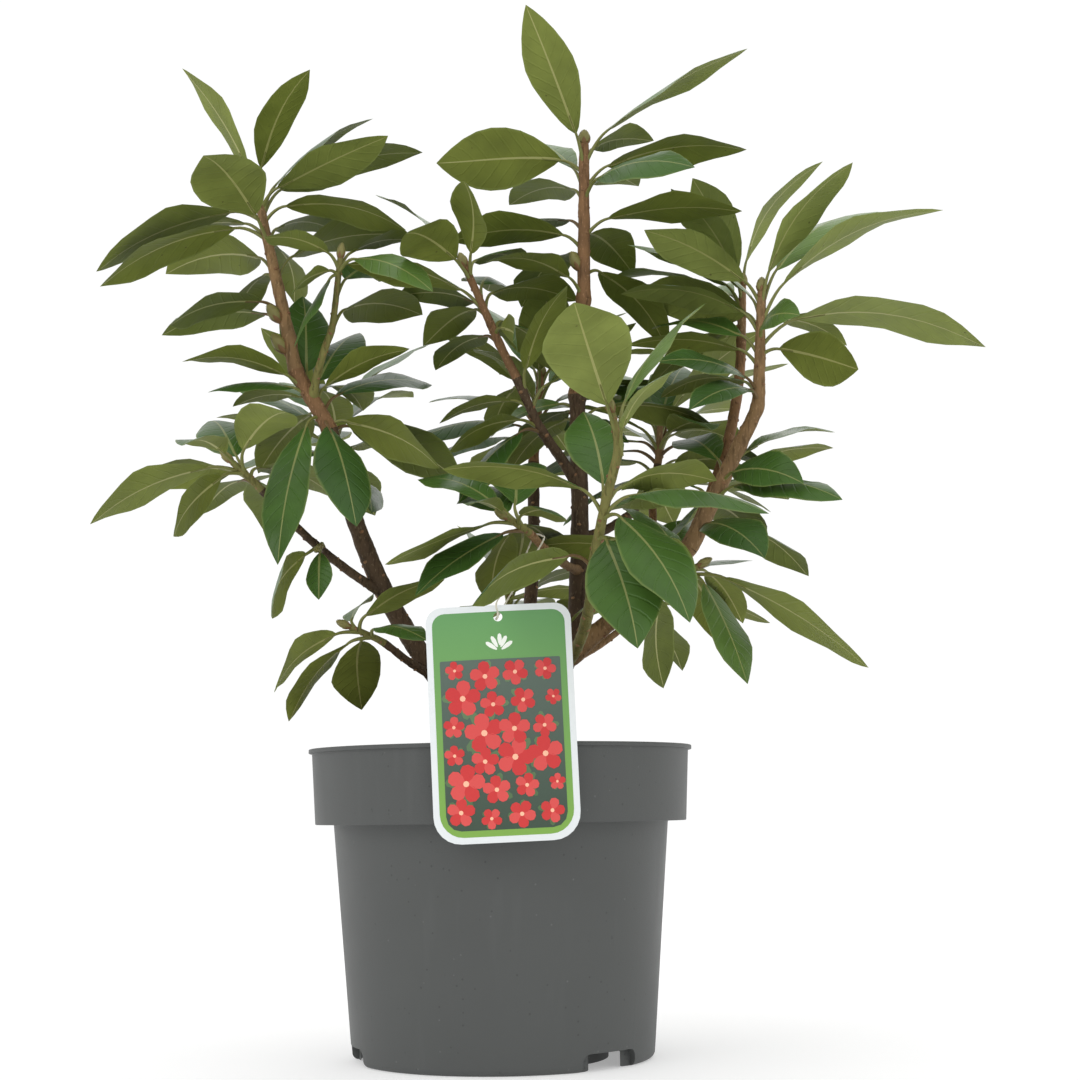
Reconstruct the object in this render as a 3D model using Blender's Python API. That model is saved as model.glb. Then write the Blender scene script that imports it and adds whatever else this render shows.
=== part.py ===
"""A large-leaved evergreen flowering shrub, grown in its nursery pot, with a hanging tag.

Everything is in metres, with +Z up. The origin is the centre of the pot's flat underside, and the
plant's front faces -Y. Bearings are degrees round from +X towards +Y, and rises are degrees above
level. Limbs are tapering tubes along bowed lines. A mass of foliage is one stem that carries a limb
on, with every leaf rooted in it and fused to it.
"""

import math
import random
from dataclasses import dataclass

import bmesh
import bpy
from mathutils import Matrix, Quaternion, Vector
from mathutils.bvhtree import BVHTree

GAP = 0.0003  # between pieces that touch
CUT_GAP = 0.0005  # round a limb, where a side limb is cut back from it

# Pot
POT_HEIGHT = 0.182
BASE_RADIUS = 0.0895
BODY_RADIUS = 0.100  # at the foot of the collar
COLLAR_LOW_RADIUS = 0.111
COLLAR_TOP_RADIUS = 0.113
COLLAR_HEIGHT = 0.0445
LIP_RADIUS = 0.115
LIP_HEIGHT = 0.0025
POT_WALL = 0.002
POT_EDGE = 0.001  # its bevelled corners
LIP_EDGE = 0.0006
FOOT_CORNER = 0.004
FOOT_WIDTH = 0.0055
CHANNEL_HEIGHT = 0.009  # of the drainage channel under the base
CHANNEL_RADIUS = 0.062
POT_SEGMENTS = 48
NOTCH_BEARINGS = (-46, 74, 194)
NOTCH_WIDTH = 0.042
NOTCH_HEIGHT = 0.010
NOTCH_CORNER = 0.005
NOTCH_DEPTH = 0.013  # across the foot
COMPOST_LEVEL = 0.162

# Tag
TAG_WIDTH = 0.080
TAG_HEIGHT = 0.129
TAG_THICKNESS = 0.0008
TAG_TOP_CORNER = 0.009
TAG_FOOT_CORNER = 0.015
TAG_BEND = 0.003  # how far its middle stands out in front of its edges
TAG_CENTRE = (0.004, 0.192)  # x and z
TAG_LEAN = 2.0  # degrees, its top to the left
TAG_HOLE_RADIUS = 0.0025
TAG_HOLE_DROP = 0.0065  # of the hole's centre below the top edge
LOOP_RADIUS = 0.0006
LOOP_POINTS = 44
LOOP_PLACE = 0.86  # share of the low bough's length

# Limbs and leaves
TUBE_STATIONS = 5
THICK_LIMB = 0.008  # diameter from which a tube has eight sides, not six
ROOT_FLARE = 0.006  # of the trunk's foot
SPUR = 0.0012  # radius of a leaf's stalk
STALK_SHARE = 0.15  # of a leaf's length
LEAF_STATIONS = ((0.36, 0.86), (0.74, 0.88))  # share of the length, and of the half width
LEAF_THICKNESS = 0.018  # of the length, at the midrib
LEAF_CROWN = 0.14  # how far its margins curl down, by its half width
LEAF_ARCH = 0.11  # how far it arches above its chord, by its length
LEAF_LENGTH = 0.088
LEAF_BREADTH = 0.40
GOLDEN_SHARE = 0.381966  # of a full turn, between one leaf and the next
YOUNG_RISE = 50
OLD_RISE = -22
LEAF_CLEARANCE = 0.0005
TRIES = 9
OWN_SPREAD = 9  # degrees that a leaf may turn to find room
RULE_SPREAD = 22
BUD_LENGTH = 0.010
BUD_SWELL = 1.5


@dataclass(frozen=True)
class Limb:
    """A tapering limb. It carries on `after`, or leaves it sideways at the share `at` of its length."""

    name: str
    after: str
    end: tuple
    thick: tuple  # diameters at its start and end
    bow: tuple = (0, 0, 0)  # how far its middle stands off the straight line
    at: float = 1.0


@dataclass(frozen=True)
class Leaf:
    """Where a leaf points, from the stem's middle to its tip, and how far below the stem's end it roots."""

    bearing: float
    rise: float
    length: float
    roll: float = 0
    back: float = 0.004
    breadth: float = LEAF_BREADTH
    arch: float = LEAF_ARCH


@dataclass(frozen=True)
class Shoot:
    """A mass of foliage, on a stem that carries on from the limb `after`."""

    name: str
    after: str
    end: tuple
    thick: tuple
    leaves: tuple = ()  # those that shape its outline
    others: int = 0  # those dealt out by the rule
    facing: tuple = (20, 160)  # bearings that the rule's leaves take
    bud: bool = True


LIMBS = (
    Limb("bough_centre_foot", "trunk", (0.046, 0, 0.246), (0.0165, 0.0125), (0.004, 0, -0.003)),
    Limb("bough_centre", "bough_centre_foot", (0.050, 0, 0.376), (0.0115, 0.0100), (0.002, 0, 0)),
    Limb("bough_left", "trunk", (-0.099, -0.035, 0.372), (0.0140, 0.0092), (-0.013, -0.004, -0.014), 0.7),
    Limb(
        "bough_right", "bough_centre_foot", (0.116, -0.015, 0.300),
        (0.0115, 0.0105), (0, -0.002, -0.002), 0.86,
    ),
    Limb("bough_centre_upper", "tier_centre", (0.055, 0, 0.459), (0.0098, 0.0085)),
    Limb("bough_left_upper", "tier_left", (-0.124, -0.034, 0.429), (0.0088, 0.0080)),
    Limb("bough_right_upper", "tier_right", (0.160, -0.015, 0.386), (0.0088, 0.0080)),
    Limb(
        "bough_centre_left", "bough_centre", (0.027, -0.022, 0.372),
        (0.0068, 0.0060), (0.003, 0.002, -0.002), 0.71,
    ),
    Limb("bough_centre_left_upper", "tier_centre_left", (0.003, -0.033, 0.423), (0.0056, 0.0052)),
    Limb(
        "bough_front", "bough_centre_foot", (0.055, -0.105, 0.280),
        (0.0072, 0.0062), (0.004, -0.008, -0.008), 0.72,
    ),
    Limb("bough_front_upper", "tier_front", (0.070, -0.133, 0.340), (0.0056, 0.0052)),
    Limb(
        "bough_left_inner", "tier_left", (-0.096, -0.052, 0.429),
        (0.0050, 0.0042), (-0.001, -0.004, 0), 0.5,
    ),
    Limb(
        "bough_left_low", "bough_left", (-0.137, -0.052, 0.333),
        (0.0056, 0.0046), (-0.002, -0.003, -0.004), 0.55,
    ),
    Limb("bough_left_sprig", "bough_left_low", (-0.102, -0.050, 0.301), (0.0034, 0.0030), at=0.48),
    Limb(
        "bough_left_foot", "bough_left", (-0.066, -0.045, 0.243),
        (0.0052, 0.0044), (0.001, -0.002, -0.003), 0.28,
    ),
    Limb(
        "bough_right_back", "bough_right", (0.156, 0.035, 0.440),
        (0.0078, 0.0062), (0.010, 0.014, 0), 0.93,
    ),
    Limb(
        "bough_right_low", "bough_right", (0.093, -0.050, 0.271),
        (0.0058, 0.0048), (0.003, -0.002, -0.003), 0.30,
    ),
    Limb(
        "bough_mid_back", "bough_centre", (0.102, 0.050, 0.362),
        (0.0060, 0.0046), (0.008, 0.005, -0.006), 0.48,
    ),
    Limb(
        "bough_centre_low", "bough_centre", (0.020, -0.078, 0.302),
        (0.0052, 0.0044), (0, -0.004, -0.004), 0.33,
    ),
    Limb("bough_back", "trunk", (0.022, 0.088, 0.372), (0.0110, 0.0070), (0.006, 0.022, -0.012), 0.55),
    Limb(
        "bough_back_left", "bough_left", (-0.100, 0.066, 0.350),
        (0.0066, 0.0050), (-0.004, 0.014, -0.008), 0.42,
    ),
    Limb(
        "bough_back_right", "bough_right", (0.100, 0.086, 0.345),
        (0.0066, 0.0050), (0.006, 0.012, -0.012), 0.45,
    ),
    Limb(
        "bough_back_low", "bough_back", (0.004, 0.110, 0.262),
        (0.0054, 0.0044), (-0.006, 0.004, -0.004), 0.34,
    ),
    Limb(
        "bough_back_side", "bough_back", (0.080, 0.078, 0.262),
        (0.0054, 0.0044), (0.002, 0.004, -0.004), 0.30,
    ),
)

SHOOTS = (
    Shoot(
        "tier_centre",
        "bough_centre",
        (0.050, 0.000, 0.398),
        (0.0100, 0.0098),
        (
            Leaf(122, -9, 0.070, 0, 0.010),
            Leaf(153, -12, 0.064, -40, 0.005),
            Leaf(18, -2, 0.092, -10, 0.012),
        ),
        others=3,
        bud=False,
    ),
    Shoot(
        "crown_centre",
        "bough_centre_upper",
        (0.057, 0.000, 0.559),
        (0.0085, 0.0060),
        (
            Leaf(-122, 50, 0.102, 12, 0.008, 0.33, -0.02),
            Leaf(-175, -1, 0.093, 60, 0.012, 0.46),
            Leaf(-20, 27, 0.119, 14, 0.005, 0.30, 0.06),
            Leaf(0, 10, 0.104, -15, 0.022),
            Leaf(-45, -3, 0.090, 45, 0.030),
            Leaf(45, 23, 0.070, -25, 0.008),
            Leaf(125, 11, 0.085, 15, 0.033),
            Leaf(173, 4, 0.085, 25, 0.063),
            Leaf(-15, 2, 0.100, -10, 0.053, arch=0.05),
            Leaf(65, -4, 0.080, -25, 0.058),
            Leaf(-135, 2, 0.085, 5, 0.094),
        ),
        others=9,
        facing=(50, 150),
    ),
    Shoot(
        "tier_left",
        "bough_left",
        (-0.120, -0.035, 0.408),
        (0.0095, 0.0088),
        (
            Leaf(-149, 7, 0.078, 10, 0.011),
            Leaf(-170, 0, 0.060, -25, 0.016),
            Leaf(150, 4, 0.062, 10, 0.022),
            Leaf(66, 43, 0.080, 10, 0.018),
            Leaf(-5, 26, 0.066, -20, 0.020),
            Leaf(30, 19, 0.085, 25, 0.026),
            Leaf(-13, -24, 0.080, -40, 0.034, 0.46),
            Leaf(19, -21, 0.095, -30, 0.037, 0.44),
            Leaf(100, 60, 0.082, 0, 0.014, 0.42),
            Leaf(-111, -64, 0.112, 5, 0.024, 0.30),
            Leaf(-62, -53, 0.094, -5, 0.030, 0.40),
        ),
        others=3,
        bud=False,
    ),
    Shoot(
        "crown_left",
        "bough_left_upper",
        (-0.145, -0.030, 0.524),
        (0.0080, 0.0052),
        (
            Leaf(175, 61, 0.092, 30, 0.001, 0.32, 0.07),
            Leaf(-56, 41, 0.088, 10, 0.002, 0.34, 0.12),
            Leaf(-106, 15, 0.092, 20, 0.030, 0.50),
            Leaf(-24, 17, 0.094, -15, 0.007, arch=0.0),
            Leaf(19, 23, 0.112, -20, 0.011),
            Leaf(-163, -24, 0.108, 20, 0.014),
            Leaf(-167, -23, 0.106, 14, 0.026),
            Leaf(151, 1, 0.090, 5, 0.027),
            Leaf(139, 8, 0.104, 35, 0.050, 0.40),
            Leaf(-9, -9, 0.092, -15, 0.016),
            Leaf(39, 22, 0.108, -25, 0.054),
            Leaf(116, -12, 0.080, -25, 0.055),
            Leaf(85, -9, 0.085, 30, 0.037),
            Leaf(-135, -17, 0.085, 25, 0.076),
            Leaf(160, 1, 0.085, 10, 0.086),
        ),
        others=4,
        facing=(20, 130),
    ),
    Shoot(
        "tier_right",
        "bough_right",
        (0.148, -0.015, 0.363),
        (0.0105, 0.0088),
        (
            Leaf(18, 22, 0.078, 10, 0.014),
            Leaf(20, 17, 0.080, -15, 0.024),
            Leaf(-55, -10, 0.070, 50, 0.022, 0.44),
            Leaf(-50, -7, 0.090, 25, 0.034),
            Leaf(-70, -18, 0.090, 20, 0.056),
        ),
        others=9,
        facing=(30, 150),
        bud=False,
    ),
    Shoot(
        "crown_right",
        "bough_right_upper",
        (0.164, -0.015, 0.458),
        (0.0080, 0.0052),
        (
            Leaf(-160, 25, 0.085, 20, 0.002, 0.44),
            Leaf(-50, 43, 0.102, 15, 0.005, arch=0.16),
            Leaf(24, 34, 0.116, 15, 0.003, arch=0.18),
            Leaf(-20, 26, 0.124, 0, 0.012, 0.32, 0.13),
            Leaf(-16, -8, 0.136, -15, 0.024, 0.36, 0.13),
            Leaf(-42, -20, 0.076, -75, 0.034, 0.46),
            Leaf(140, 20, 0.100, 50, 0.018),
            Leaf(20, -9, 0.060, -10, 0.018),
            Leaf(-75, -2, 0.060, 60, 0.026),
            Leaf(-150, 7, 0.075, -40, 0.060),
            Leaf(135, 7, 0.080, 10, 0.060),
            Leaf(-130, -14, 0.075, -25, 0.064),
        ),
        others=8,
        facing=(85, 185),
    ),
    Shoot(
        "tier_centre_left",
        "bough_centre_left",
        (0.013, -0.030, 0.403),
        (0.0060, 0.0056),
        (
            Leaf(-180, -12, 0.055, 10, 0.016),
            Leaf(112, -22, 0.052, -10, 0.004, 0.5),
            Leaf(-150, -43, 0.075, -15, 0.030),
            Leaf(-142, -20, 0.070, 30, 0.028),
        ),
        others=3,
        facing=(-70, 90),
        bud=False,
    ),
    Shoot(
        "crown_centre_left",
        "bough_centre_left_upper",
        (-0.017, -0.038, 0.470),
        (0.0052, 0.0046),
        (
            Leaf(-115, 4, 0.080, 30, 0.003, 0.46),
            Leaf(-88, 28, 0.075, -45, 0.002),
            Leaf(60, 16, 0.075, -10, 0.001),
            Leaf(50, 11, 0.095, -15, 0.022),
            Leaf(-170, 16, 0.084, 10, 0.024),
            Leaf(140, 17, 0.075, 25, 0.028),
            Leaf(125, -6, 0.070, 15, 0.028),
            Leaf(125, -5, 0.070, 0, 0.046),
            Leaf(-75, -21, 0.060, -75, 0.040),
        ),
        others=4,
        facing=(50, 150),
    ),
    Shoot(
        "tier_front",
        "bough_front",
        (0.063, -0.125, 0.316),
        (0.0062, 0.0056),
        (
            Leaf(-170, 12, 0.092, 10, 0.005),
            Leaf(-75, -48, 0.095, 20, 0.020, 0.46),
            Leaf(-55, -43, 0.100, 15, 0.007, 0.42),
            Leaf(-25, -6, 0.095, 20, 0.006),
            Leaf(-140, -19, 0.095, 40, 0.036),
            Leaf(42, 13, 0.090, -25, 0.002),
        ),
        others=4,
        facing=(30, 100),
        bud=False,
    ),
    Shoot(
        "crown_front",
        "bough_front_upper",
        (0.066, -0.138, 0.359),
        (0.0052, 0.0042),
        (
            Leaf(-106, 32, 0.102, 15, 0.012, 0.50, 0.18),
            Leaf(38, 51, 0.106, -15, 0.009, 0.32),
            Leaf(-65, 25, 0.070, 30, 0.018, 0.36),
        ),
    ),
    Shoot(
        "crown_left_inner",
        "bough_left_inner",
        (-0.091, -0.054, 0.472),
        (0.0042, 0.0038),
        (
            Leaf(-35, -21, 0.075, 30, 0.002),
            Leaf(-130, 2, 0.060, 10, 0.002),
            Leaf(40, 23, 0.060, -15, 0.002),
            Leaf(-130, -29, 0.045, 35, 0.007),
            Leaf(55, 15, 0.095, -30, 0.036),
            Leaf(-155, -60, 0.058, 0, 0.006, 0.44),
        ),
        others=3,
    ),
    Shoot(
        "crown_left_low",
        "bough_left_low",
        (-0.154, -0.058, 0.349),
        (0.0046, 0.0038),
        (
            Leaf(-170, -23, 0.090, 25, 0.002),
            Leaf(-105, 0, 0.070, 5, 0.001),
            Leaf(-120, -39, 0.075, 70, 0.004),
            Leaf(125, -9, 0.070, -5, 0.016),
            Leaf(-60, 15, 0.080, -10, 0.003, 0.44),
            Leaf(55, -4, 0.085, -10, 0.008),
        ),
        others=4,
        facing=(80, 170),
    ),
    Shoot(
        "sprig_left",
        "bough_left_sprig",
        (-0.103, -0.062, 0.297),
        (0.0030, 0.0028),
        (
            Leaf(-108, -34, 0.084, 70, 0.005),
            Leaf(-88, -60, 0.038, 20, 0.007, 0.46),
        ),
    ),
    Shoot(
        "crown_left_foot",
        "bough_left_foot",
        (-0.085, -0.060, 0.251),
        (0.0044, 0.0036),
        (
            Leaf(-130, -30, 0.075, 50, 0.003),
            Leaf(141, -37, 0.080, -15, 0.011),
            Leaf(97, -32, 0.077, -25, 0.011, 0.46),
            Leaf(78, 26, 0.046, -35, 0.001, 0.50),
            Leaf(-15, 26, 0.062, -20, 0.002),
            Leaf(-50, -7, 0.060, 15, 0.012),
        ),
        others=1,
        facing=(40, 100),
    ),
    Shoot(
        "crown_right_back",
        "bough_right_back",
        (0.158, 0.036, 0.475),
        (0.0062, 0.0046),
        (
            Leaf(151, 69, 0.085, 75, 0.002, 0.46),
            Leaf(-8, 59, 0.097, -10, 0.001, 0.30, 0.26),
        ),
        others=10,
        facing=(95, 230),
    ),
    Shoot(
        "crown_right_low",
        "bough_right_low",
        (0.117, -0.066, 0.283),
        (0.0048, 0.0038),
        (
            Leaf(-35, -30, 0.125, -35, 0.002, 0.30, 0.05),
            Leaf(-50, -59, 0.080, 0, 0.003),
            Leaf(90, -45, 0.080, -45, 0.024),
            Leaf(70, -27, 0.072, 10, 0.008),
            Leaf(55, -28, 0.060, 5, 0.001),
        ),
        others=5,
        facing=(60, 200),
    ),
    Shoot(
        "crown_mid_back",
        "bough_mid_back",
        (0.104, 0.050, 0.390),
        (0.0046, 0.0040),
        (
            Leaf(-70, -5, 0.080, -10, 0.012),
        ),
        others=11,
        facing=(-20, 230),
    ),
    Shoot(
        "crown_centre_low",
        "bough_centre_low",
        (0.007, -0.090, 0.309),
        (0.0044, 0.0036),
        (
            Leaf(-115, 2, 0.050, 0, 0.001),
            Leaf(-152, -20, 0.082, 15, 0.001, arch=0.02),
            Leaf(-149, -31, 0.080, -25, 0.011, arch=0.05),
            Leaf(107, -29, 0.074, -20, 0.010),
            Leaf(-60, -6, 0.060, -15, 0.005),
        ),
        others=5,
        facing=(60, 130),
    ),
    Shoot(
        "crown_back",
        "bough_back",
        (0.028, 0.100, 0.432),
        (0.0070, 0.0046),
        others=16,
        facing=(0, 360),
    ),
    Shoot(
        "crown_back_left",
        "bough_back_left",
        (-0.112, 0.084, 0.402),
        (0.0050, 0.0040),
        others=14,
        facing=(20, 300),
    ),
    Shoot(
        "crown_back_right",
        "bough_back_right",
        (0.110, 0.104, 0.396),
        (0.0050, 0.0040),
        others=14,
        facing=(0, 360),
    ),
    Shoot(
        "crown_back_low",
        "bough_back_low",
        (0.004, 0.126, 0.286),
        (0.0044, 0.0036),
        others=8,
        facing=(10, 130),
    ),
    Shoot(
        "crown_back_side",
        "bough_back_side",
        (0.092, 0.100, 0.290),
        (0.0044, 0.0036),
        others=10,
        facing=(-30, 180),
    ),
)


def material(name, colour, roughness, metallic=0.0):
    made = bpy.data.materials.new(name)
    made.use_nodes = True
    shader = made.node_tree.nodes["Principled BSDF"]
    shader.inputs["Base Color"].default_value = (*colour, 1)
    shader.inputs["Roughness"].default_value = roughness
    shader.inputs["Metallic"].default_value = metallic
    made.diffuse_color = (*colour, 1)
    return made


def finish(name, bm, look, smooth_angle=None):
    """Turns a bmesh into the scene's object of that name."""
    bmesh.ops.recalc_face_normals(bm, faces=bm.faces[:])
    mesh = bpy.data.meshes.new(name)
    bm.to_mesh(mesh)
    bm.free()
    if smooth_angle:
        mesh.shade_smooth()
        mesh.set_sharp_from_angle(angle=math.radians(smooth_angle))
    mesh.materials.append(look)
    made = bpy.data.objects.new(name, mesh)
    bpy.context.scene.collection.objects.link(made)
    return made


def apply_modifiers(target):
    bpy.context.view_layer.update()
    evaluated = target.evaluated_get(bpy.context.evaluated_depsgraph_get())
    mesh = bpy.data.meshes.new_from_object(evaluated)
    mesh.name = target.name
    target.modifiers.clear()
    target.data = mesh


def discard(things):
    for thing in list(things):
        bpy.data.objects.remove(thing, do_unlink=True)


def cut(target, cutters):
    """Takes the cutters' shapes out of the target, and removes them."""
    for cutter in cutters:
        cutter.hide_render = True
        cutter.display_type = "WIRE"
        boolean = target.modifiers.new(cutter.name, "BOOLEAN")
        boolean.operation = "DIFFERENCE"
        boolean.object = cutter
    apply_modifiers(target)
    discard(cutters)


def loft(bm, rings):
    """Skins rings of points with triangles, and with flat ends. A ring of one point is a tip."""
    rows = [[bm.verts.new(point) for point in ring] for ring in rings]
    for low, high in zip(rows, rows[1:]):
        for i in range(len(low)):
            j = (i + 1) % len(low)
            if len(high) == 1:
                bm.faces.new((low[i], low[j], high[0]))
            else:
                bm.faces.new((low[i], low[j], high[j]))
                bm.faces.new((low[i], high[j], high[i]))
    for row in (rows[0], rows[-1]):
        if len(row) > 1:
            bm.faces.new(row)


def turned(profile):
    """A solid of revolution from a closed profile of (radius, height), whose ends lie on the axis."""
    bm = bmesh.new()
    points = [bm.verts.new((radius, 0, height)) for radius, height in profile]
    edges = [bm.edges.new(pair) for pair in zip(points, points[1:])]
    bmesh.ops.spin(
        bm,
        geom=points + edges,
        axis=(0, 0, 1),
        cent=(0, 0, 0),
        steps=POT_SEGMENTS,
        angle=math.tau,
        use_merge=True,
    )
    bmesh.ops.remove_doubles(bm, verts=bm.verts[:], dist=1e-6)
    return bm


def wall_line(inset):
    """The pot's outline up to its lip, from the axis outwards, moved in by `inset`."""
    step = POT_HEIGHT - COLLAR_HEIGHT
    return [
        (0, inset),
        (CHANNEL_RADIUS - inset, inset),
        (CHANNEL_RADIUS - inset, CHANNEL_HEIGHT + inset),
        (BASE_RADIUS - inset, CHANNEL_HEIGHT + inset),
        (BODY_RADIUS - inset, step + inset),
        (COLLAR_LOW_RADIUS - inset, step + inset),
    ]


def make_pot(look):
    corner = [
        (
            BASE_RADIUS - FOOT_CORNER + FOOT_CORNER * math.sin(math.radians(turn)),
            FOOT_CORNER - FOOT_CORNER * math.cos(math.radians(turn)),
        )
        for turn in (0, 30, 60, 90)
    ]
    step = POT_HEIGHT - COLLAR_HEIGHT
    lip = POT_HEIGHT - LIP_HEIGHT
    outside = [
        (0, 0),
        (CHANNEL_RADIUS, 0),
        (CHANNEL_RADIUS, CHANNEL_HEIGHT),
        (BASE_RADIUS - FOOT_WIDTH, CHANNEL_HEIGHT),
        (BASE_RADIUS - FOOT_WIDTH, 0),
        *corner,
        (BODY_RADIUS, step - POT_EDGE),
        (BODY_RADIUS + POT_EDGE, step),
        (COLLAR_LOW_RADIUS - POT_EDGE, step),
        (COLLAR_LOW_RADIUS, step + POT_EDGE),
        (COLLAR_TOP_RADIUS, lip),
        (LIP_RADIUS, lip),
        (LIP_RADIUS, POT_HEIGHT - LIP_EDGE),
        (LIP_RADIUS - LIP_EDGE, POT_HEIGHT),
        (COLLAR_TOP_RADIUS - POT_WALL, POT_HEIGHT),
    ]
    pot = finish("pot", turned(outside + wall_line(POT_WALL)[::-1]), look, 35)
    cutters = []
    for bearing in NOTCH_BEARINGS:
        bm = bmesh.new()
        around = Matrix.Rotation(math.radians(bearing), 4, "Z")
        size = Matrix.Diagonal((NOTCH_DEPTH, NOTCH_WIDTH, NOTCH_HEIGHT * 2, 1))
        bmesh.ops.create_cube(bm, size=1, matrix=size)
        upper = [edge for edge in bm.edges if all(v.co.z > 0 for v in edge.verts)]
        along = [edge for edge in upper if abs(edge.verts[0].co.y - edge.verts[1].co.y) < GAP]
        bmesh.ops.bevel(
            bm, geom=along, offset=NOTCH_CORNER, segments=4, profile=0.5, affect="EDGES", material=-1
        )
        bmesh.ops.transform(bm, matrix=around @ Matrix.Translation((BASE_RADIUS, 0, 0)), verts=bm.verts)
        cutters.append(finish("notch_cutter", bm, look))
    cut(pot, cutters)
    return pot


def make_compost(look):
    line = wall_line(POT_WALL + GAP)
    low, top = line[-1][0], COLLAR_TOP_RADIUS - POT_WALL - GAP
    share = (COMPOST_LEVEL - line[-1][1]) / (POT_HEIGHT - LIP_HEIGHT - line[-1][1])
    line.append((low + (top - low) * share, COMPOST_LEVEL))
    line.append((0, COMPOST_LEVEL))
    return finish("compost", turned(line), look, 35)


def on_tag(across, up, forward=0.0):
    """A point on the tag's back, by its own width and height, with the bend and the lean."""
    lean = math.radians(TAG_LEAN)
    bend = TAG_BEND * (2 * across / TAG_WIDTH) ** 2
    x = across * math.cos(lean) - up * math.sin(lean)
    z = across * math.sin(lean) + up * math.cos(lean)
    seat = -math.sqrt(LIP_RADIUS**2 - TAG_CENTRE[0] ** 2) - TAG_BEND - GAP
    return Vector((TAG_CENTRE[0] + x, seat + bend - forward, TAG_CENTRE[1] + z))


def tag_outline():
    """The card's outline, as (across, up), with its corners rounded."""
    half, top = TAG_WIDTH / 2, TAG_HEIGHT / 2
    points = []
    for side, end, radius, first in (
        (1, 1, TAG_TOP_CORNER, 0),
        (-1, 1, TAG_TOP_CORNER, 90),
        (-1, -1, TAG_FOOT_CORNER, 180),
        (1, -1, TAG_FOOT_CORNER, 270),
    ):
        for turn in (0, 30, 60, 90):
            angle = math.radians(first + turn)
            across = side * (half - radius) + radius * math.cos(angle)
            points.append((across, end * (top - radius) + radius * math.sin(angle)))
    return points


def make_tag(look):
    """The card is cut into upright strips first, so that it can bend."""
    bm = bmesh.new()
    face = bm.faces.new([bm.verts.new((across, up, 0)) for across, up in tag_outline()])
    for share in (-0.6, -0.3, 0, 0.3, 0.6):
        whole = bm.verts[:] + bm.edges[:] + bm.faces[:]
        place = (share * TAG_WIDTH / 2, 0, 0)
        bmesh.ops.bisect_plane(bm, geom=whole, plane_co=place, plane_no=(1, 0, 0))
    sheet = bmesh.ops.extrude_face_region(bm, geom=bm.faces[:])
    for vert in [v for v in sheet["geom"] if isinstance(v, bmesh.types.BMVert)]:
        vert.co.z = TAG_THICKNESS
    for vert in bm.verts:
        vert.co = on_tag(*vert.co)
    tag = finish("tag", bm, look)
    hole = bmesh.new()
    bmesh.ops.create_cone(
        hole,
        cap_ends=True,
        segments=12,
        radius1=TAG_HOLE_RADIUS,
        radius2=TAG_HOLE_RADIUS,
        depth=0.01,
        matrix=Matrix.Translation(tag_hole()) @ Matrix.Rotation(math.pi / 2, 4, "X"),
    )
    cut(tag, [finish("hole_cutter", hole, look)])
    return tag


def tag_hole():
    return on_tag(0, TAG_HEIGHT / 2 - TAG_HOLE_DROP, TAG_THICKNESS / 2)


def make_loop(look, axes):
    """The string goes through the tag's hole, over a low bough, and meets itself."""
    hole = tag_hole()
    bough = axes["bough_centre_low"].point(LOOP_PLACE)
    reach = axes["bough_centre_low"].radius(LOOP_PLACE) + LOOP_RADIUS + 3 * GAP
    ahead = Vector((0, -1, 0))
    up = Vector((0, 0, 1))
    side = axes["bough_centre_low"].direction(LOOP_PLACE).cross(up).normalized()
    route = (
        hole,
        hole + ahead * 0.0026 + up * 0.0022,
        hole + ahead * 0.0022 + up * 0.0090,
        hole.lerp(bough, 0.60) + side * reach * 0.6 + ahead * 0.0030,
        bough + side * reach,
        bough + side * reach * 0.72 + up * reach * 0.78,
        bough + up * reach * 1.05,
        bough - side * reach * 0.72 + up * reach * 0.78,
        bough - side * reach,
        hole.lerp(bough, 0.55) - side * reach * 0.5,
        hole - ahead * 0.0050 + up * 0.0012,
    )
    curve = bpy.data.curves.new("tag_loop", "CURVE")
    curve.dimensions = "3D"
    curve.bevel_depth = LOOP_RADIUS
    curve.bevel_resolution = 1
    curve.materials.append(look)
    spline = curve.splines.new("POLY")
    spline.points.add(LOOP_POINTS - 1)
    spline.use_cyclic_u = True
    for i, point in enumerate(spline.points):
        place = i * len(route) / LOOP_POINTS
        point.co = (*closed_curve(route, place), 1)
    made = bpy.data.objects.new("tag_loop", curve)
    bpy.context.scene.collection.objects.link(made)
    return made


def closed_curve(route, place):
    """A smooth closed line through the route's points; `place` counts points along it."""
    i, t = int(place), place - int(place)
    a, b, c, d = (route[(i + k) % len(route)] for k in (-1, 0, 1, 2))
    return 0.5 * (2 * b + (c - a) * t + (2 * a - 5 * b + 4 * c - d) * t * t + (3 * b - a - 3 * c + d) * t**3)


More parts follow.
